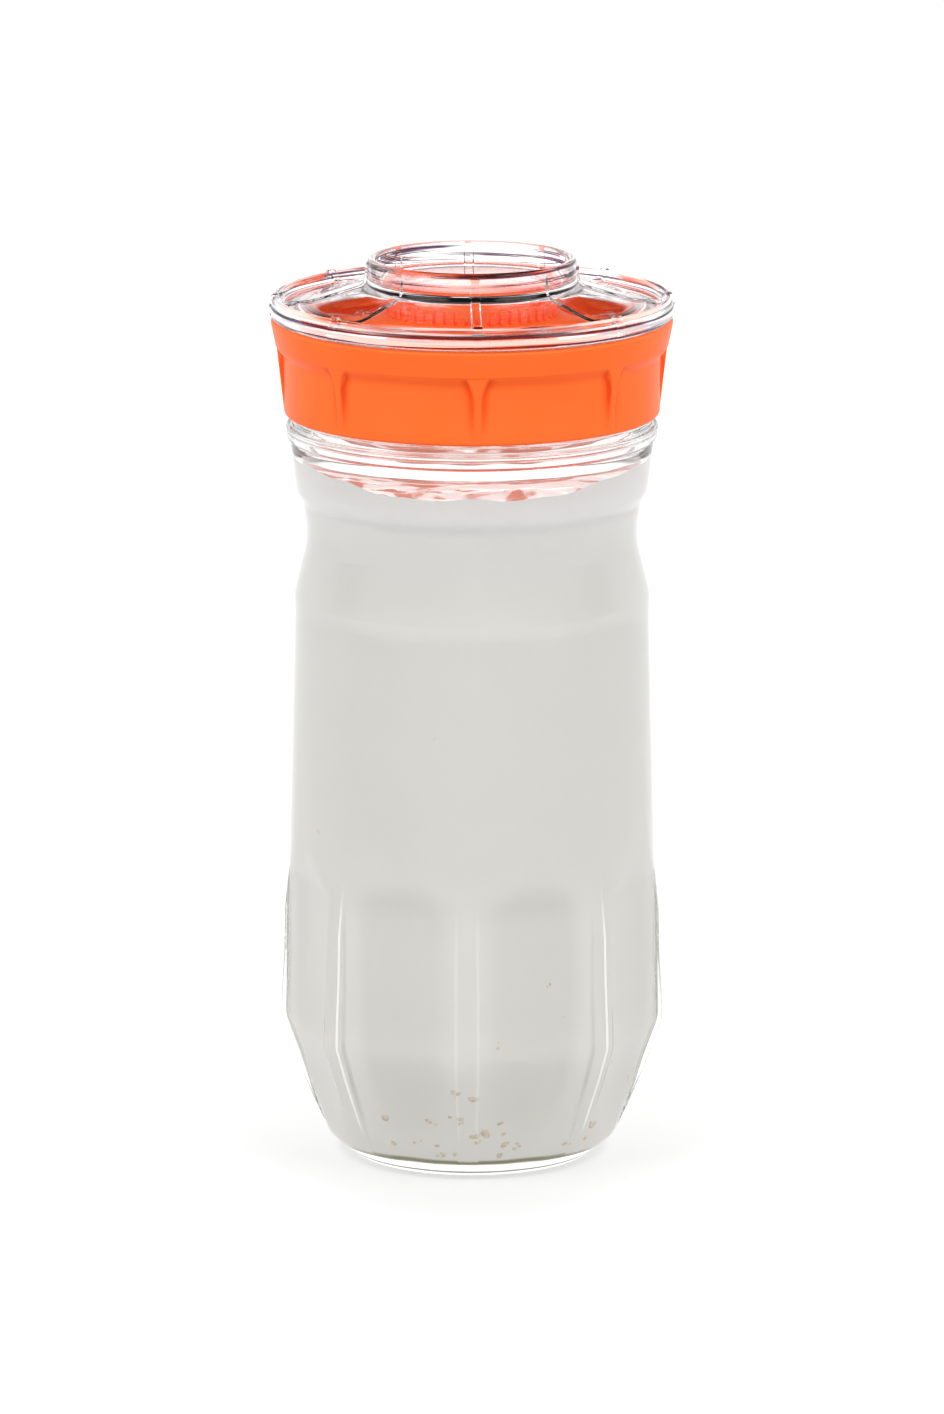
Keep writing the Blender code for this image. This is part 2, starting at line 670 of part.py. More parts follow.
def build_lid(collection, tools, material):
    """Strainer lid: skirt with lugs, well with cap ridges, strainer crown and citrus press."""
    lid = turned("strainer_lid", lid_outline(), collection)
    combine(lid, lid_ribs(tools), "UNION")
    lug_turn = NECK_RIDGE_SWEEP - LUG_SWEEP - math.radians(7.5)
    lug_low = NECK_FOOT_TOP + NECK_RIDGE_LOW + NECK_LEAD * lug_turn / math.tau
    lug_low -= NECK_RIDGE_HEIGHT + THREAD_GAP
    lugs = thread("lid_lugs", tools, SKIRT_BORE + EMBED, LUG_TIP_RADIUS, NECK_RIDGE_HEIGHT,
                  lug_low, NECK_LEAD, lug_turn, LUG_SWEEP)
    combine(lid, lugs, "UNION")
    ridges = thread("well_ridges", tools, WELL_RADIUS + EMBED, CAP_RIDGE_RADIUS, CAP_RIDGE_HEIGHT,
                    WELL_FLOOR + CAP_RIDGE_LOW, CAP_LEAD, 0.0, CAP_RIDGE_SWEEP)
    combine(lid, ridges, "UNION")
    combine(lid, press_flutes(tools), "DIFFERENCE")
    combine(lid, strainer_slots(tools), "DIFFERENCE")
    finish(lid, material)
    return lid


def cap_outline():
    """Outline of the cap: cup on top, sloping deck, thick rim and skirt."""
    cup_inner = CUP_RADIUS - CUP_WALL
    lip = RIM_TOP + RIM_BEAD
    return rounded([
        (0.0, CUP_FLOOR_TOP, 0.0),
        (cup_inner - CUP_DRAFT, CUP_FLOOR_TOP, CUP_FOOT_FILLET),
        (cup_inner + CUP_DRAFT, CUP_TOP, CUP_LIP_FILLET),
        (CUP_RADIUS - CUP_DRAFT, CUP_TOP, CUP_LIP_FILLET),
        (CUP_RADIUS + CUP_DRAFT, DECK_TOP, CUP_OUTER_FILLET),
        (DECK_BEND_RADIUS, DECK_BEND, 0.0),
        (DECK_EDGE_RADIUS, RIM_TOP, SOFT_EDGE),
        (DECK_EDGE_RADIUS + RIM_LIP_WIDTH, lip, SOFT_EDGE),
        (RIM_RADIUS - RIM_BEVEL_RUN, lip - RIM_LIP_FALL, SOFT_EDGE),
        (RIM_RADIUS, lip - RIM_BEVEL_DROP, SOFT_EDGE),
        (RIM_RADIUS - RIM_DRAFT, CAP_BOTTOM, FINE_EDGE),
        (CAP_SKIRT_RADIUS, CAP_BOTTOM, 0.0),
        (CAP_SKIRT_RADIUS, CAP_SKIRT_BOTTOM, FINE_EDGE),
        (CAP_SKIRT_BORE, CAP_SKIRT_BOTTOM, FINE_EDGE),
        (CAP_SKIRT_BORE, DECK_BEND - DECK_THICKNESS, CAP_SKIRT_FILLET),
        (DECK_BEND_RADIUS, DECK_BEND - DECK_THICKNESS, 0.0),
        (CUP_RADIUS, DECK_TOP - DECK_THICKNESS, 0.0),
        (CUP_RADIUS - CUP_WALL, CUP_FLOOR_TOP - CUP_FLOOR, 0.0),
        (0.0, CUP_FLOOR_TOP - CUP_FLOOR, 0.0),
    ])


def cap_ribs(tools):
    """Eight ribs out from the cup's wall across the deck, over the rim and down its side."""
    lift = CAP_RIB_HEIGHT
    lip = RIM_TOP + RIM_BEAD
    drop = CUP_TOP - CAP_RIB_DROP
    side = CAP_RIB_RIM_HEIGHT
    under = DECK_THICKNESS * 0.5
    slope = (DECK_TOP - DECK_BEND) / (DECK_BEND_RADIUS - CUP_RADIUS)
    outline = [
        (CUP_RADIUS - CUP_WALL * 0.5, drop + lift),
        (CUP_RADIUS + lift, drop),
        (CUP_RADIUS + CUP_DRAFT + lift, DECK_TOP + CAP_RIB_SPREAD),
        (CUP_RADIUS + CAP_RIB_SPREAD + lift, DECK_TOP - slope * CAP_RIB_SPREAD + lift),
        (DECK_BEND_RADIUS, DECK_BEND + lift),
        (DECK_EDGE_RADIUS - lift, RIM_TOP + lift),
        (DECK_EDGE_RADIUS + RIM_LIP_WIDTH - lift, lip + lift),
        (RIM_RADIUS - RIM_BEVEL_RUN, lip + lift),
        (RIM_RADIUS + side, lip - RIM_BEVEL_DROP),
        (RIM_RADIUS - RIM_DRAFT + side, CAP_BOTTOM + FINE_EDGE),
        (RIM_RADIUS - RIM_BEVEL_RUN, CAP_BOTTOM + FINE_EDGE + EMBED),
        (RIM_RADIUS - RIM_BEVEL_RUN - EMBED, lip - RIM_BEVEL_DROP),
        (DECK_EDGE_RADIUS, RIM_TOP - under),
        (DECK_BEND_RADIUS, DECK_BEND - under),
        (CUP_RADIUS - CUP_WALL * 0.5, DECK_TOP - under),
    ]
    return ribs_about_axis("cap_ribs", tools, outline, CAP_RIBS, lambda height: CAP_RIB_WIDTH)


def build_cap(collection, tools, material):
    """Clear cap: a lens-like rim, ribbed deck and cup, with lugs on its skirt."""
    cap = turned("clear_cap", cap_outline(), collection)
    combine(cap, cap_ribs(tools), "UNION")
    lug_turn = CAP_RIDGE_SWEEP - LUG_SWEEP - math.radians(7.5)
    lug_low = WELL_FLOOR + CAP_RIDGE_LOW + CAP_LEAD * lug_turn / math.tau
    lug_low -= CAP_RIDGE_HEIGHT + THREAD_GAP
    lugs = thread("cap_lugs", tools, CAP_SKIRT_RADIUS - EMBED, CAP_LUG_RADIUS, CAP_RIDGE_HEIGHT,
                  lug_low, CAP_LEAD, lug_turn, LUG_SWEEP)
    combine(cap, lugs, "UNION")
    finish(cap, material)
    return cap


def main():
    """Build the whole jar."""
    clear_scene()
    parts = new_collection("kefir_fermentation_jar")
    tools = new_collection("cutters")
    glass = new_material("glass", (0.96, 0.97, 0.96), 0.02, transmission=1.0)
    kefir = new_material("kefir", (0.86, 0.85, 0.82), 0.45)
    orange = new_material("orange_plastic", (1.0, 0.20, 0.045), 0.35)
    clear = new_material("clear_plastic", (0.98, 0.97, 0.98), 0.03, transmission=1.0)
    silicone = new_material("silicone", (0.88, 0.88, 0.86), 0.5)
    build_jar(parts, tools, glass)
    build_kefir(parts, kefir)
    build_ring("lid_gasket", NECK_BORE + GASKET_INSET, SKIRT_BORE - THREAD_GAP, GASKET_BOTTOM,
               GASKET_THICKNESS, parts, silicone)
    build_lid(parts, tools, orange)
    build_ring("cap_seal", CAP_SKIRT_BORE + GASKET_INSET, CAP_SKIRT_RADIUS + GASKET_INSET, SEAL_BOTTOM,
               SEAL_THICKNESS, parts, silicone)
    build_cap(parts, tools, clear)


main()
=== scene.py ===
"""Kefir fermentation jar: fine surfaces, materials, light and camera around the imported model.

Lengths are in metres, +Z is up and -Y is the front. Every turned piece is an outline of
(radius, height) points swept about Z, with its panels, ribs, flutes and threads as offsets
of that sweep.
"""

import math
from collections import namedtuple

import bmesh
import bpy
import numpy as np
from mathutils import Matrix, Vector


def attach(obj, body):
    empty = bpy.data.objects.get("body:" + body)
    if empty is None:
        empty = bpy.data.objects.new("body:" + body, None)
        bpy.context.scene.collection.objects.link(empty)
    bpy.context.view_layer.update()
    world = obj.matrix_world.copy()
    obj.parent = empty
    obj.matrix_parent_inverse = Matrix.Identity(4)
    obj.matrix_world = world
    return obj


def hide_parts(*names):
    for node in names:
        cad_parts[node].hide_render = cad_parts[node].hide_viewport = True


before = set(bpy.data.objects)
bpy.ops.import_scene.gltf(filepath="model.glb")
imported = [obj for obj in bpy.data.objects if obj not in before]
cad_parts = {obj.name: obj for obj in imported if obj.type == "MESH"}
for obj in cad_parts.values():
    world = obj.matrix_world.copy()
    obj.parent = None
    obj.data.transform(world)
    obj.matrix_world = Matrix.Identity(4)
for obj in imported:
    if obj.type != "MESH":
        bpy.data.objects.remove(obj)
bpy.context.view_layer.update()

TAU = math.tau
MM = 0.001
FRONT = -math.pi / 2.0
RIBS = 8
PITCH = TAU / RIBS
JAR_TURN = math.radians(-1.5)
LID_TURN = math.radians(1.7)

# Two radii closer than this are the same
NEAR = 1e-4

# Heights and radii shared by the pieces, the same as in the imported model
COLLAR_BOTTOM = 0.2036
COLLAR_TOP = 0.2076
NECK_FOOT_TOP = 0.2100
BRIM = 0.2244
NECK_RADIUS = 0.0482
NECK_BORE = 0.0450
KEFIR_LEVEL = 0.1938
SKIRT_BOTTOM = 0.2105
SKIRT_BORE = 0.0502
SEAT = 0.2265
WELL_FLOOR = 0.2287
WELL_RADIUS = 0.0524
LID_TOP = 0.2368
LID_WALL = 0.0022
BAND_RADIUS = 0.0559
BAND_LOW_RADIUS = 0.0545
BAND_LOW = 0.2299
GUTTER = 0.2382
PRESS_TOP = 0.2444
PRESS_NOSE_RADIUS = 0.0045
PRESS_FOOT_RADIUS = 0.0175
CROWN_INNER = 0.0208
CROWN_OUTER = 0.0235
CROWN_HEIGHT = 0.0033
CAP_BOTTOM = 0.2371
CAP_WALL = 0.0019
CAP_SKIRT_RADIUS = 0.0506
CAP_SKIRT_BORE = 0.0484
CAP_SKIRT_BOTTOM = 0.2306
RIM_RADIUS = 0.0560
RIM_TOP = 0.2410
RIM_LIP = 0.2436
DECK_EDGE = 0.0527
DECK_BEND_RADIUS = 0.0442
DECK_BEND = 0.2418
DECK_TOP = 0.2462
CUP_RADIUS = 0.0291
CUP_WALL = 0.0027
CUP_FLOOR = 0.0020
CUP_FLOOR_TOP = 0.2472
CUP_TOP = 0.2540

# Points of radius and height on the jar's outside that its inside follows, and the glass between
HEEL = (0.0408, 0.0052)
TAPER_TOP = (0.0523, 0.0375)
BODY_LOW = (0.0513, 0.0800)
BODY_TOP = (0.0494, 0.1540)
WAIST = (0.0457, 0.1755)
CHEST = (0.0489, 0.1890)
GLASS = 0.0032
PANEL_GLASS = 0.0052
JAR_FLOOR = 0.0056
BRIM_MIDDLE_RADIUS = NECK_RADIUS - 0.0016

# Where each of the two threads starts and how it climbs, with its spans in degrees
Thread = namedtuple("Thread", "low lead height depth span lug_drop")
NECK_THREAD = Thread(low=NECK_FOOT_TOP + 0.0027, lead=0.0240, height=0.0022, depth=0.0015,
                     span=82.5, lug_drop=0.0027)
CAP_THREAD = Thread(low=WELL_FLOOR + 0.0033, lead=0.0160, height=0.0014, depth=0.0013,
                    span=52.5, lug_drop=0.0019)
THREAD_STARTS = 4
THREAD_FADE = math.radians(5.0)
LUG_SPAN = 22.5
LUG_GAP = 7.5

# Strength of the painted light that each material glows with: the lid inside and out, the kefir at its top
# and bottom, the cap's rim and cup, and the jar's diagonal and front ribs
LID_GLOW = 0.20
SKIRT_GLOW = 0.12
KEFIR_GLOW = 0.58
FLOOR_GLOW = 0.76
RIM_GLOW = 0.60
CUP_GLOW = 0.24
DIAGONAL_GLOW = 0.323
FRONT_RIB_GLOW = 0.0544

# Studio: a white wall around the table, a pale ceiling, a dark panel behind and a soft box each side
WALL_FRONT = 0.90
WALL_REAR = 1.20
WALL_SIDES = 0.66
WALL_TOP = 0.50
CEILING = 0.50
PANEL_LEVEL = 0.02
PANEL_LOW = 0.24
PANEL_HIGH = 0.85
PANEL_HALF_WIDTH = 0.28
PANEL_BLUR = 0.06
SOFT_BOX_AXIS = (0.66, -0.40, 0.64)
SOFT_BOX_LEVEL = 3.8
WHITE = (1.0, 1.0, 1.0)

# Camera: the photograph's height in pixels, and the length that one of them covers at the jar
CAMERA_DISTANCE = 2.35
CAMERA_ELEVATION = math.radians(12.7)
CAMERA_TARGET = (0.0, 0.0, 0.12635)
SENSOR_HEIGHT = 36.0
PHOTO_HEIGHT = 1414.0
PIXEL = 0.00028


# Outlines

def arc_points(corner, before, after, fillet, step):
    """Round one corner of an outline."""
    back, ahead = before - corner, after - corner
    room = 0.49 * min(np.linalg.norm(back), np.linalg.norm(ahead))
    back, ahead = back / np.linalg.norm(back), ahead / np.linalg.norm(ahead)
    turn = math.pi - math.acos(float(np.clip(back @ ahead, -1.0, 1.0)))
    if turn < math.radians(0.5):
        return [corner]
    reach = min(fillet * math.tan(turn / 2.0), room)
    radius = reach / math.tan(turn / 2.0)
    bisector = (back + ahead) / np.linalg.norm(back + ahead)
    middle = corner + bisector * (radius / math.cos(turn / 2.0))
    start = corner + back * reach - middle
    end = corner + ahead * reach - middle
    if turn > math.pi - 0.01:
        return [middle + start, middle + end]
    count = max(2, math.ceil(turn / step))
    return [middle + (math.sin((1.0 - share) * turn) * start + math.sin(share * turn) * end) / math.sin(turn)
            for share in np.linspace(0.0, 1.0, count + 1)]


def rounded(corners, closed=False, step=math.radians(9.0)):
    """Turn corners of (radius, height, fillet) into an outline with arcs at the fillets."""
    spots = [np.array(corner[:2], float) for corner in corners]
    count = len(spots)
    points = []
    for index, corner in enumerate(corners):
        if corner[2] > 0.0 and (closed or 0 < index < count - 1):
            points.extend(arc_points(spots[index], spots[index - 1], spots[(index + 1) % count],
                                     corner[2], step))
        else:
            points.append(spots[index])
    return np.array(points)


def resample(points, spacing, closed=False):
    """Add points to an outline until none are further apart than the spacing."""
    loop = list(points) + ([points[0]] if closed else [])
    out = []
    for start, end in zip(loop, loop[1:]):
        count = max(1, math.ceil(np.linalg.norm(end - start) / spacing - 1e-6))
        out.extend(start + (end - start) * index / count for index in range(count))
    if not closed:
        out.append(loop[-1])
    return np.array(out)


def smooth(low, high, value):
    """Ease from 0 at low to 1 at high."""
    share = np.clip((value - low) / (high - low), 0.0, 1.0)
    return share * share * (3.0 - 2.0 * share)


def from_table(value, table):
    """Read a table of (value, result) rows, with straight lines between them."""
    return np.interp(value, *np.transpose(table))


def soft_min(a, b, width):
    """Least of two fields, with their crossing rounded over the width."""
    blend = np.clip(0.5 + 0.5 * (b - a) / width, 0.0, 1.0)
    return b * (1.0 - blend) + a * blend - width * blend * (1.0 - blend)


def outline_normals(points):
    """Unit normals of an open outline, on the right of its direction of travel."""
    along = np.gradient(points, axis=0)
    normals = np.stack([along[:, 1], -along[:, 0]], axis=1)
    return normals / np.maximum(np.linalg.norm(normals, axis=1, keepdims=True), 1e-12)


# Sweeps

def fine_angles(turn, fine_span, fine_count, coarse_count):
    """Angles of a sweep's columns: close together at the ribs and wider between them."""
    near = np.linspace(-fine_span, fine_span, fine_count, endpoint=False)
    far = np.linspace(fine_span, PITCH - fine_span, coarse_count, endpoint=False)
    pitch = np.concatenate([near, far])
    return np.concatenate([FRONT + turn + PITCH * rib + pitch for rib in range(RIBS)])


def even_angles(count=256):
    """Angles of a sweep's columns, all the same distance apart."""
    return np.linspace(0.0, TAU, count, endpoint=False)


def from_rib(angles, turn):
    """Signed angle from the nearest rib."""
    return (angles - FRONT - turn + PITCH / 2.0) % PITCH - PITCH / 2.0


def turned(outline, angles):
    """Grids of radius and height for an outline that is the same all round."""
    return (np.repeat(outline[:, :1], len(angles), axis=1),
            np.repeat(outline[:, 1:], len(angles), axis=1))


def new_object(name, mesh):
    """Turn a bmesh into an object of the scene."""
    data = bpy.data.meshes.new(name)
    mesh.to_mesh(data)
    mesh.free()
    piece = bpy.data.objects.new(name, data)
    bpy.context.scene.collection.objects.link(piece)
    return piece


def sweep(name, radii, heights, angles, closed=False):
    """Make a closed body from grids of radius and height by outline point and column."""
    mesh = bmesh.new()
    loops = []
    for reach, level in zip(radii, heights):
        if reach.max() < 1e-6:
            loops.append([mesh.verts.new((0.0, 0.0, level.mean()))])
        else:
            spots = zip(reach * np.cos(angles), reach * np.sin(angles), level)
            loops.append([mesh.verts.new(spot) for spot in spots])
    columns = range(len(angles))
    for first, second in list(zip(loops, loops[1:])) + ([(loops[-1], loops[0])] if closed else []):
        if len(first) == 1 and len(second) == 1:
            continue
        for column, after in zip(columns, [*columns[1:], 0]):
            if len(first) == 1:
                mesh.faces.new((first[0], second[after], second[column]))
            elif len(second) == 1:
                mesh.faces.new((first[column], first[after], second[0]))
            else:
                mesh.faces.new((first[column], first[after], second[after], second[column]))
    if mesh.calc_volume(signed=True) < 0.0:
        bmesh.ops.reverse_faces(mesh, faces=mesh.faces[:])
    piece = new_object(name, mesh)
    piece.data.shade_smooth()
    return piece


def thread_rise(thread, angles, heights, low, first, span):
    """How far a multi-start thread stands out at each angle and height."""
    rise = np.zeros(np.broadcast(angles, heights).shape)
    for start in range(THREAD_STARTS):
        travel = (angles - first - TAU * start / THREAD_STARTS) % TAU
        middle = low + thread.lead * travel / TAU
        across = 1.0 - smooth(0.30 * thread.height, 0.62 * thread.height, np.abs(heights - middle))
        ends = smooth(0.0, THREAD_FADE, travel) * (1.0 - smooth(span - THREAD_FADE, span, travel))
        rise = np.maximum(rise, across * ends * (travel < span))
    return thread.depth * rise


def thread_ridges(thread, angles, heights):
    """The long ridges of a thread."""
    return thread_rise(thread, angles, heights, thread.low, 0.0, math.radians(thread.span))


def thread_lugs(thread, angles, heights):
    """The short lugs that run under a thread's ridges, near their upper ends."""
    first = math.radians(thread.span - LUG_SPAN - LUG_GAP)
    low = thread.low + thread.lead * first / TAU - thread.lug_drop
    return thread_rise(thread, angles, heights, low, first, math.radians(LUG_SPAN))


# Nodes

Position = namedtuple("Position", "vector x y z reach")


class Graph:
    """Short ways to add and join the nodes of one material or world."""

    def __init__(self, tree):
        self.tree = tree

    def feed(self, socket, value):
        """Link a socket to an output, or set its own value."""
        if isinstance(value, bpy.types.NodeSocket):
            self.tree.links.new(value, socket)
        else:
            socket.default_value = (*value, 1.0) if socket.type == "RGBA" else value

    def add(self, kind, sockets=None, **settings):
        """Add a node with its settings, then feed its sockets by name or number."""
        node = self.tree.nodes.new("ShaderNode" + kind)
        for name, value in settings.items():
            setattr(node, name, value)
        for key, value in (sockets or {}).items():
            self.feed(node.inputs[key], value)
        return node

    def shade(self, **sockets):
        """Feed the Principled shader, with _ for each space in a socket's name."""
        shader = self.tree.nodes["Principled BSDF"]
        for name, value in sockets.items():
            self.feed(shader.inputs[name.replace("_", " ")], value)

    def calc(self, operation, first, second=0.0):
        """Join two numbers."""
        return self.add("Math", {0: first, 1: second}, operation=operation).outputs["Value"]

    def product(self, *values):
        """Multiply numbers."""
        result = values[0]
        for value in values[1:]:
            result = self.calc("MULTIPLY", result, value)
        return result

    def distance(self, value, middle):
        """How far a number is from another."""
        return self.calc("ABSOLUTE", self.calc("SUBTRACT", value, middle))

    def vector(self, operation, first, second=(0.0, 0.0, 0.0)):
        """Join two vectors. A length, a distance or a dot product comes out as a number."""
        node = self.add("VectorMath", {0: first, 1: second}, operation=operation)
        is_number = operation in ("LENGTH", "DISTANCE", "DOT_PRODUCT")
        return node.outputs["Value" if is_number else "Vector"]

    def mapped(self, value, low, high, start=0.0, end=1.0, interpolation="LINEAR"):
        """Map the range from low to high onto the one from start to end."""
        sockets = {"Value": value, "From Min": low, "From Max": high, "To Min": start, "To Max": end}
        return self.add("MapRange", sockets, interpolation_type=interpolation).outputs["Result"]

    def eased(self, value, low, high, start=0.0, end=1.0):
        """Map one range onto another with soft ends."""
        return self.mapped(value, low, high, start, end, "SMOOTHSTEP")

    def band(self, value, start, full, fading, end):
        """1 from full to fading, and 0 before start and past end."""
        return self.product(self.eased(value, start, full), self.eased(value, fading, end, 1.0, 0.0))

    def mixed(self, share, first, second, data_type="RGBA"):
        """Blend two colours, or two numbers."""
        sockets = {"Factor": share, "A": first, "B": second}
        return self.add("Mix", sockets, data_type=data_type).outputs["Result"]

    def ramp(self, share, stops):
        """Blend through stops of (position, colour)."""
        node = self.add("ValToRGB", {"Fac": share})
        elements = node.color_ramp.elements
        for element, (position, color) in zip(elements, (stops[0], stops[-1])):
            element.position, element.color = position, (*color, 1.0)
        for position, color in stops[1:-1]:
            elements.new(position).color = (*color, 1.0)
        return node.outputs["Color"]

    def noise(self, vector, scale, detail, distortion=0.0):
        """Cloudy noise from 0 to 1."""
        sockets = {"Vector": vector, "Scale": scale, "Detail": detail, "Distortion": distortion}
        return self.add("TexNoise", sockets).outputs["Fac"]

    def roughen(self, vector, scale, detail, strength, distance):
        """Give the shader a fine uneven surface."""
        sockets = {"Height": self.noise(vector, scale, detail), "Strength": strength, "Distance": distance}
        self.shade(Normal=self.add("Bump", sockets).outputs["Normal"])

    def coordinates(self):
        """Object coordinates."""
        return self.add("TexCoord").outputs["Object"]

    def position(self):
        """Object coordinates, their parts and the distance from the axis."""
        vector = self.coordinates()
        parts = self.add("SeparateXYZ", {"Vector": vector}).outputs
        reach = self.vector("LENGTH", self.vector("MULTIPLY", vector, (1.0, 1.0, 0.0)))
        return Position(vector, parts["X"], parts["Y"], parts["Z"], reach)

    def rib_angle(self, at, turn):
        """Angle from the nearest rib, without its sign."""
        heading = self.calc("ARCTAN2", at.x, self.product(at.y, -1.0))
        return self.calc("PINGPONG", self.calc("SUBTRACT", heading, turn), PITCH / 2.0)


def new_material(name, color, roughness, ior=1.45, **sockets):
    """Make a Principled material with its plain values, and the graph for the rest."""
    material = bpy.data.materials.new(name)
    material.use_nodes = True
    graph = Graph(material.node_tree)
    graph.shade(Base_Color=color, Roughness=roughness, IOR=ior, **sockets)
    return material, graph


# Materials

def glass_material():
    """Clear pressed glass, faintly wavy, with painted highlight lines on its ribs and a painted line of
    shade at its foot.
    """
    clear, painted_shade_color = (0.985, 0.992, 0.985), (0.03, 0.03, 0.025)
    material, graph = new_material("jar_glass", clear, 0.0, 1.5, Transmission_Weight=1.0)
    at = graph.position()
    graph.roughen(at.vector, scale=55.0, detail=1.0, strength=0.12, distance=0.0006)
    # Painted highlights: one line of light along each diagonal rib and one each side of the front one
    aside = graph.calc("ABSOLUTE", at.x)
    heading = graph.calc("ARCTAN2", aside, graph.calc("ABSOLUTE", at.y))
    from_diagonal = graph.distance(heading, math.radians(44.4))
    diagonal_highlight = graph.eased(from_diagonal, 0.0030, 0.0100, DIAGONAL_GLOW, 0.0)
    from_edge = graph.distance(graph.rib_angle(at, JAR_TURN), math.radians(3.3))
    edge_highlights = graph.product(graph.eased(from_edge, 0.002, 0.014, FRONT_RIB_GLOW, 0.0),
                          graph.eased(aside, 0.008, 0.012, 1.0, 0.0))
    # Only the outer face carries them
    within_glass = graph.eased(at.z, HEEL[1], TAPER_TOP[1], 0.0393, 0.0505)
    outside = graph.calc("GREATER_THAN", at.reach, within_glass)
    tall = graph.band(at.z, 0.010, 0.018, 0.066, 0.086)
    graph.shade(Emission_Strength=graph.product(graph.calc("ADD", diagonal_highlight, edge_highlights), outside, tall))
    # Painted shade: one thin dark line at the foot's corner, where the glass bends light away
    corner = graph.product(graph.band(at.z, 0.0009, 0.0012, 0.0016, 0.0019),
                           graph.calc("GREATER_THAN", at.reach, 0.0330))
    graph.shade(Base_Color=graph.mixed(corner, clear, painted_shade_color))
    return material


def clear_plastic_material():
    """Clear, glossy moulded plastic, with painted light and shade in rings on its rim and cup wall."""
    clear, painted_shade_color = (0.995, 0.985, 0.985), (0.03, 0.008, 0.025)
    material, graph = new_material("cap_plastic", clear, 0.0, 1.30, Transmission_Weight=1.0)
    at = graph.position()
    graph.roughen(at.vector, scale=80.0, detail=1.0, strength=0.05, distance=0.0004)
    # Painted light: thin bands of light on the thick rim and the cup's wall, with painted dark threads
    # between them
    flattened = graph.vector("MULTIPLY", at.vector, (22.0, 22.0, 1200.0))
    layers = graph.noise(flattened, scale=1.0, detail=3.0)
    painted_light_bands = graph.eased(layers, 0.46, 0.58)
    threads = graph.eased(layers, 0.39, 0.44, 1.0, 0.0)
    # One painted white ring of light and two painted dark ones round the rim, which sway a little with the
    # bands
    swayed = graph.calc("ADD", at.z, graph.product(graph.calc("SUBTRACT", layers, 0.5), 0.0016))
    painted_white_ring = graph.band(swayed, 0.2388, 0.2391, 0.2402, 0.2405)
    painted_dark_rings = graph.calc("ADD", graph.band(swayed, 0.2405, 0.2407, 0.2412, 0.2415),
                            graph.band(swayed, 0.2379, 0.2381, 0.2385, 0.2387))
    rim = graph.product(graph.eased(at.reach, DECK_EDGE + 0.0004, DECK_EDGE + 0.0014),
                        graph.eased(at.z, CAP_BOTTOM + 0.0004, CAP_BOTTOM + 0.0010))
    cup = graph.product(graph.eased(at.reach, 0.0240, 0.0250),
                        graph.eased(at.z, CUP_FLOOR_TOP + 0.0016, CUP_FLOOR_TOP + 0.0030))
    painted_rim_light = graph.product(rim, graph.calc("MAXIMUM", painted_light_bands, painted_white_ring),
                            graph.calc("SUBTRACT", 1.0, painted_dark_rings), RIM_GLOW)
    painted_cap_light = graph.calc("ADD", painted_rim_light, graph.product(painted_light_bands, cup, CUP_GLOW))
    painted_shade_mask = graph.calc("MAXIMUM", graph.product(threads, graph.calc("ADD", rim, cup)),
                        graph.product(rim, painted_dark_rings))
    graph.shade(Emission_Color=(1.0, 0.97, 0.98), Emission_Strength=painted_cap_light,
                Base_Color=graph.mixed(painted_shade_mask, clear, painted_shade_color))
    return material


def orange_material():
    """Satin orange plastic, faintly mottled, with a moulded grain, a painted glow and painted shade beside
    its ribs.
    """
    material, graph = new_material("lid_orange", (1.0, 0.159, 0.029), 0.36, Specular_IOR_Level=0.09)
    at = graph.position()
    graph.roughen(at.vector, scale=1800.0, detail=2.0, strength=0.25, distance=0.00005)
    mottled = graph.ramp(graph.noise(at.vector, scale=40.0, detail=4.0),
                         ((0.3, (1.0, 0.150, 0.026)), (0.7, (1.0, 0.168, 0.032))))
    # Painted glow, in place of light that comes through the thin walls: the well and the underside glow more
    # than the skirt
    wall = graph.eased(at.z, WELL_FLOOR - 0.0008, WELL_FLOOR, SKIRT_BORE + 0.0010, WELL_RADIUS + 0.0006)
    inside = graph.calc("LESS_THAN", at.reach, wall)
    glow = graph.calc("ADD", graph.product(inside, LID_GLOW - SKIRT_GLOW), SKIRT_GLOW)
    # Painted shade in the grooves beside the skirt's ribs
    aside = graph.product(graph.rib_angle(at, LID_TURN), at.reach)
    flare = graph.eased(at.z, 0.2235, BAND_LOW, 0.0, 0.0020)
    painted_groove_shade = graph.product(graph.band(graph.calc("SUBTRACT", aside, flare), 0.0007, 0.0013, 0.0013, 0.0038),
                           graph.band(at.z, SKIRT_BOTTOM, 0.2225, BAND_LOW - 0.0010, BAND_LOW), 0.75)
    graph.shade(Emission_Color=(1.0, 0.065, 0.004), Emission_Strength=glow,
                Base_Color=graph.mixed(painted_groove_shade, mottled, (0.78, 0.070, 0.008)))
    return material


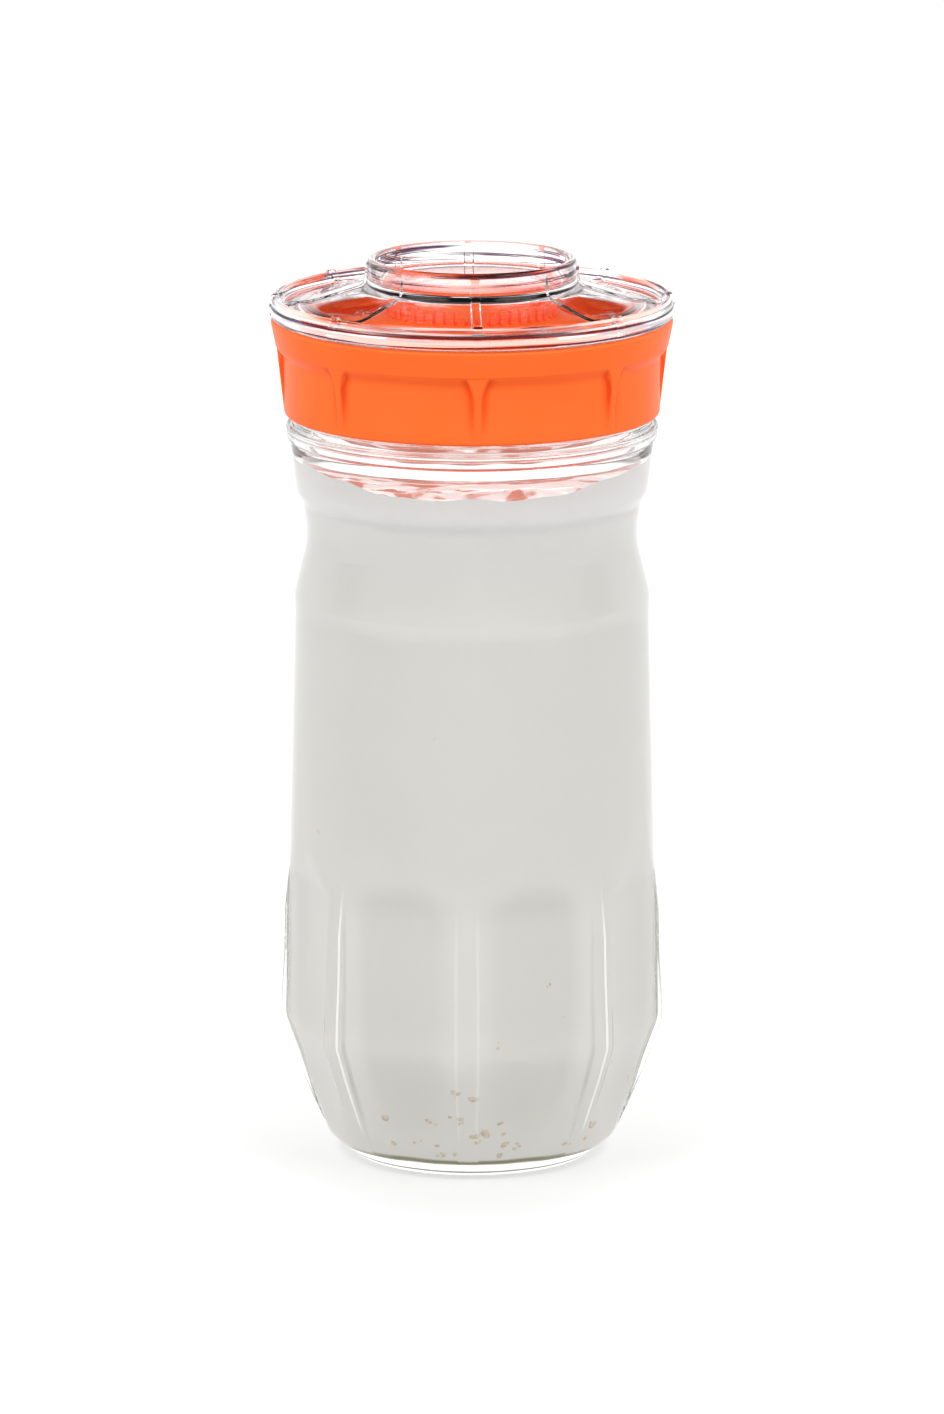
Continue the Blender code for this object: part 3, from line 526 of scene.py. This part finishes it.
def kefir_material():
    """Milky kefir: warm off-white and curdled, a little darker towards the bottom, with painted light that
    makes it paler just under its top.
    """
    material, graph = new_material("kefir_milk", (0.88, 0.875, 0.855), 0.12, 1.38)
    at = graph.position()
    # Painted light: the milk is paler just under its top
    milk = graph.ramp(graph.mapped(at.z, 0.0, 0.19),
                      ((0.0, (0.845, 0.824, 0.778)), (0.35, (0.838, 0.822, 0.782)),
                       (0.88, (0.852, 0.840, 0.808)), (1.0, (0.930, 0.927, 0.915))))
    curds = graph.mapped(graph.noise(at.vector, scale=30.0, detail=5.0), 0.3, 0.7, 0.985, 1.008)
    milk = graph.vector("MULTIPLY", milk, curds)
    # Painted shade: an olive dark line along the lowest edge
    painted_edge_shade = graph.band(at.z, 0.0052, 0.0056, 0.0057, 0.0062)
    milk = graph.mixed(painted_edge_shade, milk, (0.30, 0.28, 0.16))
    # Painted glow at the top and at the bottom, in place of light that enters through the glass and comes
    # out again
    top = graph.product(graph.eased(at.z, KEFIR_LEVEL - 0.0022, KEFIR_LEVEL - 0.0012),
                        graph.eased(at.reach, NECK_BORE, NECK_BORE + 0.0006, 1.0, 0.0))
    bottom = graph.eased(at.z, 0.0052, 0.0055, FLOOR_GLOW, 0.0)
    glow = graph.calc("ADD", graph.product(top, KEFIR_GLOW), bottom)
    # Painted reflections of the lid's orange in the waves at the top, most of them near the middle
    middle = graph.eased(graph.calc("ABSOLUTE", at.x), 0.012, 0.036, 0.12, -0.04)
    front_and_back = graph.calc("ADD", graph.eased(at.y, -0.012, 0.006),
                                graph.eased(at.y, -0.036, -0.020, 1.0, 0.0))
    waves = graph.noise(at.vector, scale=70.0, detail=5.0, distortion=1.2)
    waves = graph.calc("ADD", waves, graph.product(middle, front_and_back))
    painted_lid_reflections = graph.product(graph.eased(waves, 0.50, 0.60), top)
    # Under its painted glow, the top takes a blue-green base colour
    milk = graph.mixed(top, milk, (0.52, 0.80, 0.84))
    graph.shade(Base_Color=graph.mixed(painted_lid_reflections, milk, (0.62, 0.36, 0.29)), Emission_Strength=glow,
                Emission_Color=graph.mixed(painted_lid_reflections, (1.0, 0.99, 0.98), (0.46, 0.20, 0.14)))
    return material


def grain_material():
    """Tan kefir grains."""
    material, graph = new_material("kefir_grain", (0.62, 0.50, 0.34), 0.45)
    graph.shade(Base_Color=graph.ramp(graph.noise(graph.coordinates(), scale=900.0, detail=3.0),
                                      ((0.35, (0.62, 0.51, 0.35)), (0.65, (0.80, 0.73, 0.60)))))
    return material


def silicone_material():
    """Milky silicone."""
    material, graph = new_material("seal_silicone", (0.84, 0.84, 0.82), 0.42)
    graph.roughen(graph.coordinates(), scale=900.0, detail=3.0, strength=0.15, distance=0.00005)
    return material


# Glass jar

PANEL_TOP = 0.080
PANEL_DEPTH = 0.052
FOOT_HOLLOW_RADIUS = 0.030

# How far the ribs stand out at each height
RIB_RISE = ((0.005, 0.0), (0.014, 0.0009), (0.028, 0.0016), (0.036, 0.0015), (0.044, 0.0015),
            (0.056, 0.0011), (0.069, 0.0011), (0.0765, 0.0005), (0.082, 0.0))


def jar_outer():
    """Outline of the jar's outside, from the middle of its brim down to the foot's hollow."""
    return [
        (BRIM_MIDDLE_RADIUS, BRIM, 0.0),
        (NECK_RADIUS, BRIM, 0.0014),
        (NECK_RADIUS, NECK_FOOT_TOP, 0.0004),
        (0.0501, NECK_FOOT_TOP, 0.0006),
        (0.0501, COLLAR_TOP, 0.0004),
        (0.0517, COLLAR_TOP, 0.0009),
        (0.0517, 0.2062, 0.0009),
        (0.0511, 0.2060, 0.0004),
        (0.0515, 0.2058, 0.0009),
        (0.0515, COLLAR_BOTTOM + 0.0003, 0.0009),
        (0.0506, COLLAR_BOTTOM, 0.0005),
        (*CHEST, 0.0018),
        (0.0471, 0.1858, 0.0030),
        (*WAIST, 0.0220),
        (0.0496, 0.1594, 0.0035),
        (*BODY_TOP, 0.0),
        (*BODY_LOW, 0.0400),
        (*TAPER_TOP, 0.0060),
        (*HEEL, 0.0050),
        (0.0345, 0.0, 0.0012),
        (0.0305, 0.0, 0.0008),
        (0.0285, 0.0014, 0.0010),
        (0.0, 0.0030, 0.0),
    ]


def jar_inner(grow=0.0):
    """Outline of the jar's inside, from the floor's middle up to the brim's middle."""
    flat = math.cos(PITCH / 2.0 - math.radians(4.6))
    floor = JAR_FLOOR - grow

    def behind(point, glass, fillet):
        return (point[0] - glass + grow, point[1], fillet)

    return [
        (0.0, floor, 0.0),
        (HEEL[0] * flat - GLASS + grow, floor - 0.0006, 0.0025),
        (TAPER_TOP[0] * flat - GLASS + grow, TAPER_TOP[1], 0.0100),
        behind(BODY_LOW, PANEL_GLASS, 0.0300),
        behind(BODY_TOP, GLASS, 0.0060),
        behind(WAIST, GLASS, 0.0200),
        behind(CHEST, GLASS, 0.0060),
        (CHEST[0] - GLASS + 0.0008 + grow, 0.1996, 0.0060),
        (NECK_BORE, COLLAR_TOP, 0.0035),
        (NECK_BORE, BRIM, 0.0014),
        (BRIM_MIDDLE_RADIUS, BRIM, 0.0),
    ]


def jar_radius(radius, height, angles):
    """Radius of the jar's outside, with its flat panels, ribs and neck thread."""
    rib = from_rib(angles, JAR_TURN)
    above = np.maximum((height - PANEL_TOP) / 0.0065, 0.0)
    recess = PANEL_DEPTH * np.where(height < PANEL_TOP, 1.0, np.exp(-above ** 1.2))
    recess = recess * smooth(0.001, 0.028, height)
    flat = radius * (1.0 - recess) / np.cos(PITCH / 2.0 - np.abs(rib))
    body = np.where(recess > 1e-5, soft_min(flat, radius, 0.0005), radius)
    half = math.radians(4.0) - math.radians(0.6) * smooth(0.055, PANEL_TOP, height)
    edge = half * radius
    crest = 1.0 - smooth(edge - 0.0003, edge + 0.0002, np.abs(rib) * radius)
    body = body + from_table(height, RIB_RISE) * crest
    on_neck = (height > NECK_FOOT_TOP + 0.0004) & (height < BRIM - 0.0006) & (radius > NECK_RADIUS - NEAR)
    return body + np.where(on_neck, thread_ridges(NECK_THREAD, angles, height), 0.0)


def build_jar():
    """Glass jar, from its brim down the outside, over the foot, and back up the inside."""
    outer = resample(rounded(jar_outer()), spacing=0.0010)
    inner = resample(rounded(jar_inner()), spacing=0.0030)[:-1]
    angles = fine_angles(JAR_TURN, fine_span=math.radians(5.4), fine_count=72, coarse_count=20)
    radii, heights = turned(np.concatenate([outer, inner]), angles)
    radius, height = outer[:, :1], outer[:, 1:]
    radii[:len(outer)] = np.where(radius < FOOT_HOLLOW_RADIUS, radius,
                                  jar_radius(radius, height, angles[None, :]))
    return sweep("glass_jar_body", radii, heights, angles, closed=True)


# Kefir

# Wave lengths and sizes on the kefir's surface
WAVES = ((0.034, 0.00042), (0.021, 0.00036), (0.013, 0.00026), (0.0085, 0.00016))
WAVES_PER_LENGTH = 5

# How far the kefir reaches into the glass, so that no air shows between them
GLASS_OVERLAP = 0.00008


def ripple(x, y):
    """Small waves on the kefir's surface."""
    rng = np.random.default_rng(3)
    rise = np.zeros(np.broadcast(x, y).shape)
    for length, size in WAVES:
        for _ in range(WAVES_PER_LENGTH):
            heading, phase = rng.uniform(0.0, TAU, 2)
            along = x * math.cos(heading) + y * math.sin(heading)
            rise += size * 0.45 * np.sin(TAU / length * along + phase)
    return rise


def build_kefir():
    """Kefir with a rippled top, and the film that it left on the glass, highest at the sides."""
    wall = resample(rounded(jar_inner(GLASS_OVERLAP)), spacing=0.0015)
    wall = wall[wall[:, 1] < COLLAR_TOP]
    base = KEFIR_LEVEL - 0.0040
    angles = even_angles()
    across = angles[None, :]

    def wall_radius(height):
        return np.interp(height, wall[:, 1], wall[:, 0])

    # The film climbs the glass to an uneven brink, and its inner face comes back down to the level
    swing = 7.0 * across
    brink = KEFIR_LEVEL + 0.0008 + 0.0052 * np.abs(np.cos(across)) ** 2.5
    brink = brink + 0.0004 * np.sin(swing) + 0.0003 * np.sin(2.3 * swing + 1.0)
    climb = base + (brink - base) * np.linspace(0.0, 1.0, 9)[:, None]
    back = brink - 0.0002 + (KEFIR_LEVEL + 0.0006 - brink) * np.array([[0.0], [0.5], [1.0]])
    film = wall_radius(back) - np.array([[0.0002], [0.0003], [0.0005]])
    # The surface runs in to the axis, a little higher and calmer where it wets the glass
    inset = np.concatenate([[0.0010, 0.0018], np.arange(0.0028, 0.0450, 0.0006)])
    meniscus = np.zeros((len(inset), 1))
    meniscus[:2, 0] = (0.0003, 0.0001)
    shore = wall_radius(KEFIR_LEVEL)
    surface = np.repeat((shore - inset)[:, None], len(angles), axis=1)
    calm = 1.0 - 0.75 * smooth(shore - 0.003, shore, surface)
    waves = ripple(surface * np.cos(angles), surface * np.sin(angles))
    axis = np.zeros((1, len(angles)))
    side_radii, side_heights = turned(wall[wall[:, 1] < base], angles)
    radii = np.concatenate([side_radii, wall_radius(climb), film, surface, axis])
    heights = np.concatenate([side_heights, climb, back, KEFIR_LEVEL + meniscus + calm * waves,
                              axis + KEFIR_LEVEL])
    return sweep("kefir_contents", radii, heights, angles)


# Lid

SLOTS = 48
SLOT_WIDTH = 0.0010
FLUTE_DEPTH = 0.0013

# How far the panels lie behind the ribs, and half of a rib's width, at each height
PANEL_DEPTHS = ((SKIRT_BOTTOM, 0.0), (0.2125, 0.0001), (0.2160, 0.0006), (0.2200, 0.0010),
                (0.2240, 0.0013), (0.2272, 0.0016), (0.2290, 0.0018), (BAND_LOW, 0.0019))
RIB_HALF_WIDTHS = ((SKIRT_BOTTOM, 0.0005), (0.2160, 0.0007), (0.2200, 0.0008),
                   (0.2250, 0.0011), (0.2272, 0.0016), (0.2290, 0.0026))


def lid_outline():
    """Outline of the lid: press, gutter, crown, deck, well, band, skirt and underside."""
    return [
        (0.0, PRESS_TOP, 0.0),
        (PRESS_NOSE_RADIUS, PRESS_TOP - 0.0004, 0.0060),
        (PRESS_FOOT_RADIUS, GUTTER, 0.0010),
        (CROWN_INNER, GUTTER, 0.0003),
        (CROWN_INNER + 0.0002, GUTTER + CROWN_HEIGHT, 0.0006),
        (CROWN_OUTER - 0.0002, GUTTER + CROWN_HEIGHT, 0.0006),
        (CROWN_OUTER, GUTTER, 0.0003),
        (0.0470, WELL_FLOOR, 0.0060),
        (WELL_RADIUS, WELL_FLOOR, 0.0005),
        (WELL_RADIUS, LID_TOP, 0.0004),
        (BAND_RADIUS, LID_TOP, 0.0006),
        (BAND_LOW_RADIUS, BAND_LOW, 0.0005),
        (BAND_LOW_RADIUS - 0.0003, BAND_LOW - 0.0004, 0.0004),
        (0.0521, SKIRT_BOTTOM, 0.0018),
        (SKIRT_BORE, SKIRT_BOTTOM, 0.0003),
        (SKIRT_BORE, SEAT, 0.0004),
        (0.0458, SEAT, 0.0030),
        (0.0257, GUTTER - LID_WALL, 0.0022),
        (PRESS_FOOT_RADIUS, GUTTER - LID_WALL, 0.0010),
        (PRESS_NOSE_RADIUS, PRESS_TOP - LID_WALL - 0.0004, 0.0060),
        (0.0, PRESS_TOP - LID_WALL, 0.0),
    ]


def lid_panels(radius, height, angles):
    """How far the skirt's panels lie behind the line of its ribs."""
    flank, shoulder = 0.0008, 0.0029
    beside = np.abs(from_rib(angles, LID_TURN)) * radius - from_table(height, RIB_HALF_WIDTHS)
    side = np.clip(1.0 - beside / flank, 0.0, 1.0)
    over = np.clip(1.0 - (BAND_LOW - 0.0003 - height) / shoulder, 0.0, 1.0)
    away = np.clip(1.0 - np.sqrt(side ** 2 + over ** 2), 0.0, 1.0)
    return from_table(height, PANEL_DEPTHS) * away * away * (3.0 - 2.0 * away)


def build_lid():
    """Strainer lid with its panels, threads, crown and fluted press."""
    outline = resample(rounded(lid_outline()), spacing=0.0009)
    angles = fine_angles(LID_TURN, fine_span=math.radians(4.8), fine_count=40, coarse_count=20)
    across = angles[None, :]
    radius, height = outline[:, :1], outline[:, 1:]
    radii, heights = turned(outline, angles)
    outside = (radius > 0.0514) & (height < BAND_LOW) & (height > SKIRT_BOTTOM + 0.0001)
    radii -= np.where(outside, lid_panels(radius, height, across), 0.0)
    # Thread lugs inside the skirt, and the cap's ridges inside the well
    in_bore = (np.abs(radius - SKIRT_BORE) < NEAR) & (height < SEAT - 0.0004)
    radii -= np.where(in_bore, thread_lugs(NECK_THREAD, across, height), 0.0)
    in_well = (np.abs(radius - WELL_RADIUS) < NEAR) & (height > WELL_FLOOR + 0.0004)
    radii -= np.where(in_well, thread_ridges(CAP_THREAD, across, height), 0.0)
    # Flutes down the press, on its upper face alone
    row = np.arange(len(outline))[:, None]
    on_press = (radius < PRESS_FOOT_RADIUS) & (row < len(outline) // 2)
    share = np.clip(radius / PRESS_FOOT_RADIUS, 0.0, 1.0)
    wave = np.abs(np.cos(RIBS / 2.0 * (across - FRONT - LID_TURN + PITCH / 2.0)))
    flute = FLUTE_DEPTH * smooth(0.15, 0.55, share) * (1.0 - smooth(0.90, 1.0, share)) * wave ** 1.5
    heights -= np.where(on_press, flute, 0.0)
    lid = sweep("strainer_lid_body", radii, heights, angles)
    cut_slots(lid)
    return lid


def cut_slots(lid):
    """Cut the strainer's slots through the gutter and the crown."""
    mesh = bmesh.new()
    inner, outer = PRESS_FOOT_RADIUS + 0.0010, CROWN_OUTER + 0.0010
    low, high = GUTTER - 2.0 * LID_WALL, GUTTER + CROWN_HEIGHT * 1.5
    size = Matrix.Diagonal((outer - inner, SLOT_WIDTH, high - low, 1.0))
    spot = Matrix.Translation(((outer + inner) / 2.0, 0.0, (high + low) / 2.0))
    for slot in range(SLOTS):
        turn = Matrix.Rotation(TAU * (slot + 0.5) / SLOTS, 4, "Z")
        bmesh.ops.create_cube(mesh, size=1.0, matrix=turn @ spot @ size)
    cutter = new_object("slot_cutter", mesh)
    boolean = lid.modifiers.new("Slots", "BOOLEAN")
    boolean.operation = "DIFFERENCE"
    boolean.solver = "EXACT"
    boolean.object = cutter
    bpy.context.view_layer.update()
    made = bpy.data.meshes.new_from_object(lid.evaluated_get(bpy.context.evaluated_depsgraph_get()))
    lid.modifiers.clear()
    lid.data = made
    bpy.data.objects.remove(cutter, do_unlink=True)


# Cap

# Corners of the cap's outline that its ribs start, change and end at
CUP_BRINK = (CUP_RADIUS - 0.0003, CUP_TOP)
RIM_CREST = (RIM_RADIUS - 0.0010, RIM_LIP - 0.0002)
RIM_FOOT = (RIM_RADIUS - 0.0002, CAP_BOTTOM)
CAP_RIB_HEIGHT = 0.0006


def cap_outline():
    """Outline of the cap: cup, deck, lens-like rim and skirt."""
    bore = CUP_RADIUS - CUP_WALL
    return [
        (0.0, CUP_FLOOR_TOP, 0.0),
        (bore - 0.0003, CUP_FLOOR_TOP, 0.0012),
        (bore + 0.0003, CUP_TOP, 0.0010),
        (*CUP_BRINK, 0.0012),
        (CUP_RADIUS + 0.0003, DECK_TOP, 0.0028),
        (DECK_BEND_RADIUS, DECK_BEND, 0.0140),
        (DECK_EDGE, RIM_TOP, 0.0012),
        (DECK_EDGE + 0.0013, RIM_LIP, 0.0009),
        (*RIM_CREST, 0.0009),
        (RIM_RADIUS, RIM_LIP - 0.0030, 0.0014),
        (*RIM_FOOT, 0.0020),
        (CAP_SKIRT_RADIUS, CAP_BOTTOM, 0.0004),
        (CAP_SKIRT_RADIUS, CAP_SKIRT_BOTTOM, 0.0004),
        (CAP_SKIRT_BORE, CAP_SKIRT_BOTTOM, 0.0004),
        (CAP_SKIRT_BORE, DECK_BEND - CAP_WALL, 0.0015),
        (DECK_BEND_RADIUS, DECK_BEND - CAP_WALL, 0.0100),
        (CUP_RADIUS, DECK_TOP - CAP_WALL, 0.0020),
        (bore, CUP_FLOOR_TOP - CUP_FLOOR, 0.0030),
        (0.0, CUP_FLOOR_TOP - CUP_FLOOR, 0.0),
    ]


def nearest(outline, spot):
    """Index of the outline point nearest to a spot."""
    return int(np.argmin(np.hypot(outline[:, 0] - spot[0], outline[:, 1] - spot[1])))


def build_cap():
    """Clear cap with ribs over its deck, rim and cup wall."""
    outline = resample(rounded(cap_outline()), spacing=0.0009)
    normals = outline_normals(outline)
    if normals[2, 1] < 0.0:
        normals = -normals
    angles = fine_angles(LID_TURN, fine_span=math.radians(3.4), fine_count=48, coarse_count=12)
    across = angles[None, :]
    radius, height = outline[:, :1], outline[:, 1:]
    row = np.arange(len(outline))[:, None]
    start, edge, end = (nearest(outline, corner) for corner in (CUP_BRINK, RIM_CREST, RIM_FOOT))
    shape = 1.0 - smooth(0.0010, 0.0015, np.abs(from_rib(across, LID_TURN)) * radius)
    weight = np.where(row <= start, 0.0, smooth(0.0008, 0.0022, CUP_TOP - height))
    weight = np.where(row > edge, 0.4 + 0.6 * smooth(RIM_LIP - 0.0018, RIM_LIP - 0.0004, height), weight)
    weight = weight * np.where(row > end, 0.0, smooth(0.0002, 0.0007, height - CAP_BOTTOM))
    lift = CAP_RIB_HEIGHT * shape * weight
    on_skirt = (np.abs(radius - CAP_SKIRT_RADIUS) < NEAR) & (height < CAP_BOTTOM - 0.0003)
    lugs = np.where(on_skirt, thread_lugs(CAP_THREAD, across, height), 0.0)
    radii = radius + lift * normals[:, :1] + lugs
    heights = height + lift * normals[:, 1:]
    return sweep("clear_cap_body", radii, heights, angles)


# Seals

def build_ring(name, inner, outer, low, thickness):
    """Soft ring with a rounded section."""
    fillet = 0.0006
    corners = [(outer, low + thickness, fillet), (outer, low, fillet),
               (inner, low, fillet), (inner, low + thickness, fillet)]
    outline = resample(rounded(corners, closed=True), spacing=0.0008, closed=True)
    angles = even_angles()
    return sweep(name, *turned(outline, angles), angles, closed=True)


# Kefir grains against the glass

# Grains that the photograph shows: degrees to the right of the front, height and size in millimetres
SEEN_GRAINS = (
    (-1, 27, 1.1), (-40, 18, 1.2), (-36, 9.5, 0.8), (-5, 19, 0.7), (-1, 18, 0.8), (3, 16, 1.1),
    (5, 14, 1.5), (7, 13, 1.3), (10, 14, 0.8), (13, 16, 1.0), (-15, 16.5, 0.7), (-15, 13, 0.9),
    (-14, 7.5, 0.5), (-11, 8, 0.7), (-6, 8.6, 0.7), (12, 8, 0.7), (42, 9.5, 0.9), (52, 11, 1.2),
    (57, 33, 0.9), (27, 57, 0.4), (8, 41, 0.4), (-24, 11, 0.5), (18, 10, 0.6))
SEEN_GRAIN_SCALE = 1.4
LOW_GRAINS = 34
HIGH_GRAINS = 22
GRAIN_THICKNESS = 0.00016
GRAIN_OVERLAP = 0.00006


def inner_radius(height):
    """Radius of the jar's inside at a height."""
    wall = rounded(jar_inner())
    wall = wall[wall[:, 1] < BRIM - 0.002]
    return float(np.interp(height, wall[:, 1], wall[:, 0]))


def build_grains():
    """Flat curds and grains that lie against the inside of the glass, most of them low at the front."""
    rng = np.random.default_rng(7)
    mesh = bmesh.new()
    spots = [(FRONT + math.radians(degrees), height * MM, size * MM * SEEN_GRAIN_SCALE)
             for degrees, height, size in SEEN_GRAINS]
    for _ in range(LOW_GRAINS):
        angle = rng.uniform(math.radians(-10.0), math.radians(190.0))
        spots.append((angle, 0.008 + 0.020 * rng.random() ** 1.6, rng.uniform(0.0004, 0.0012)))
    for _ in range(HIGH_GRAINS):
        spots.append((rng.uniform(0.0, TAU), rng.uniform(0.030, 0.185), rng.uniform(0.0002, 0.0005)))
    for angle, height, size in spots:
        radius = inner_radius(height)
        for _ in range(rng.integers(1, 4)):
            swing = angle + rng.normal(0.0, size * 1.2 / radius)
            level = height + rng.normal(0.0, size * 0.8)
            width, length = size * rng.uniform(0.5, 1.0), size * rng.uniform(0.3, 0.8)
            scale = Matrix.Diagonal((GRAIN_THICKNESS, width, length, 1.0))
            tilt = Matrix.Rotation(rng.uniform(0.0, math.pi), 4, "X")
            shift = Matrix.Translation((inner_radius(level) + GRAIN_OVERLAP, 0.0, level))
            turn = Matrix.Rotation(swing, 4, "Z")
            bmesh.ops.create_icosphere(mesh, subdivisions=2, radius=1.0, matrix=turn @ shift @ tilt @ scale)
    grains = new_object("kefir_grains", mesh)
    grains.data.shade_smooth()
    return grains


# Studio

def build_camera():
    """Camera at the photograph's angle above the jar's middle."""
    target = Vector(CAMERA_TARGET)
    data = bpy.data.cameras.new("camera")
    data.sensor_fit = "VERTICAL"
    data.sensor_height = SENSOR_HEIGHT
    data.lens = SENSOR_HEIGHT * (CAMERA_DISTANCE / PIXEL) / PHOTO_HEIGHT
    data.clip_start = 0.05
    data.clip_end = 60.0
    camera = bpy.data.objects.new("camera", data)
    heading = Vector((0.0, -math.cos(CAMERA_ELEVATION), math.sin(CAMERA_ELEVATION)))
    camera.location = target + CAMERA_DISTANCE * heading
    camera.rotation_euler = (target - camera.location).to_track_quat("-Z", "Y").to_euler()
    bpy.context.scene.collection.objects.link(camera)
    bpy.context.scene.camera = camera


def build_floor():
    """White table that keeps a soft, faint shadow, with more shade painted in front of the foot."""
    bpy.ops.mesh.primitive_plane_add(size=12.0, location=(0.0, 0.0, -0.0001))
    floor = bpy.context.object
    floor.name = "floor"
    material, graph = new_material("floor_white", (0.50, 0.50, 0.50), 0.9, Specular_IOR_Level=0.0)
    # Painted shadow: the table glows less in front of the foot, with a thin painted shadow round the foot's
    # contact
    spot = graph.coordinates()
    shadow = graph.eased(graph.vector("DISTANCE", spot, (0.0, -0.042, 0.0)), 0.005, 0.095, 0.50, 0.69)
    painted_contact_shade = graph.eased(graph.vector("LENGTH", spot), 0.0340, 0.0400, -0.15, 0.0)
    seen = graph.add("BsdfPrincipled", {
        "Base Color": (0.36, 0.36, 0.36), "Roughness": 0.9, "Specular IOR Level": 0.0,
        "Emission Color": WHITE, "Emission Strength": graph.calc("ADD", shadow, painted_contact_shade)})
    # Rays from the camera, and those that clear or shiny pieces pass on, see the white table
    rays = graph.add("LightPath").outputs
    shown = graph.calc("MAXIMUM", rays["Is Camera Ray"], rays["Is Glossy Ray"])
    shown = graph.calc("MAXIMUM", shown, rays["Is Transmission Ray"])
    plain = graph.tree.nodes["Principled BSDF"]
    mix = graph.add("MixShader", {"Fac": shown, 1: plain.outputs["BSDF"], 2: seen.outputs["BSDF"]})
    graph.feed(graph.tree.nodes["Material Output"].inputs["Surface"], mix.outputs["Shader"])
    floor.data.materials.append(material)


def build_world():
    """White wall around the table with soft boxes above it, the same on the left and the right."""
    world = bpy.data.worlds.new("studio")
    bpy.context.scene.world = world
    world.use_nodes = True
    graph = Graph(world.node_tree)
    graph.tree.nodes.clear()
    parts = graph.add("SeparateXYZ", {"Vector": graph.add("TexCoord").outputs["Generated"]}).outputs
    x, y, z = parts["X"], parts["Y"], parts["Z"]
    across = graph.calc("ABSOLUTE", x)
    wall = graph.product(graph.eased(y, 0.10, 0.50, WALL_FRONT, WALL_REAR),
                         graph.eased(graph.calc("ABSOLUTE", y), 0.05, 0.35, WALL_SIDES, 1.0))
    room = graph.eased(z, WALL_TOP - 0.06, WALL_TOP + 0.06, wall, CEILING)
    panel = graph.product(
        graph.eased(y, -0.05, 0.15),
        graph.eased(across, PANEL_HALF_WIDTH - PANEL_BLUR, PANEL_HALF_WIDTH + PANEL_BLUR, 1.0, 0.0),
        graph.band(z, PANEL_LOW - 0.04, PANEL_LOW + 0.04, PANEL_HIGH - 0.05, PANEL_HIGH + 0.05))
    room = graph.mixed(panel, room, PANEL_LEVEL, "FLOAT")
    folded = graph.add("CombineXYZ", {"X": across, "Y": y, "Z": z}).outputs["Vector"]
    towards_box = graph.vector("DOT_PRODUCT", folded, Vector(SOFT_BOX_AXIS).normalized())
    boxes = graph.eased(towards_box, 0.91, 0.95, 0.0, SOFT_BOX_LEVEL)
    tent = graph.add("Background", {"Color": WHITE, "Strength": graph.calc("ADD", room, boxes)})
    white = graph.add("Background", {"Color": WHITE})
    camera_ray = graph.add("LightPath").outputs["Is Camera Ray"]
    mix = graph.add("MixShader", {"Fac": camera_ray, 1: tent.outputs["Background"],
                                  2: white.outputs["Background"]})
    graph.add("OutputWorld", {"Surface": mix.outputs["Shader"]})


# Assembly

def place(piece, node, body, material, sharp=None):
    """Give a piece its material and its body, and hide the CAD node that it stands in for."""
    piece.data.materials.clear()
    piece.data.materials.append(material)
    if sharp:
        piece.data.set_sharp_from_angle(angle=math.radians(sharp))
    if node:
        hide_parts(node)
    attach(piece, body)


def main():
    """Dress the model and light it."""
    silicone = silicone_material()
    place(build_jar(), "glass_jar", "jar", glass_material(), sharp=50.0)
    place(build_kefir(), "kefir_fill", "jar", kefir_material(), sharp=60.0)
    place(build_grains(), None, "jar", grain_material())
    place(build_lid(), "strainer_lid", "lid", orange_material(), sharp=50.0)
    place(build_cap(), "clear_cap", "cap", clear_plastic_material(), sharp=50.0)
    gasket = build_ring("lid_gasket_ring", inner=NECK_BORE + 0.0003, outer=SKIRT_BORE - 0.0005,
                        low=BRIM + 0.0003, thickness=0.0015)
    place(gasket, "lid_gasket", "gasket", silicone)
    seal = build_ring("cap_seal_ring", inner=CAP_SKIRT_BORE + 0.0003, outer=CAP_SKIRT_RADIUS + 0.0003,
                      low=WELL_FLOOR + 0.0003, thickness=0.0013)
    place(seal, "cap_seal", "seal", silicone)
    build_camera()
    build_floor()
    build_world()
    bpy.context.scene.view_settings.view_transform = "Standard"


main()
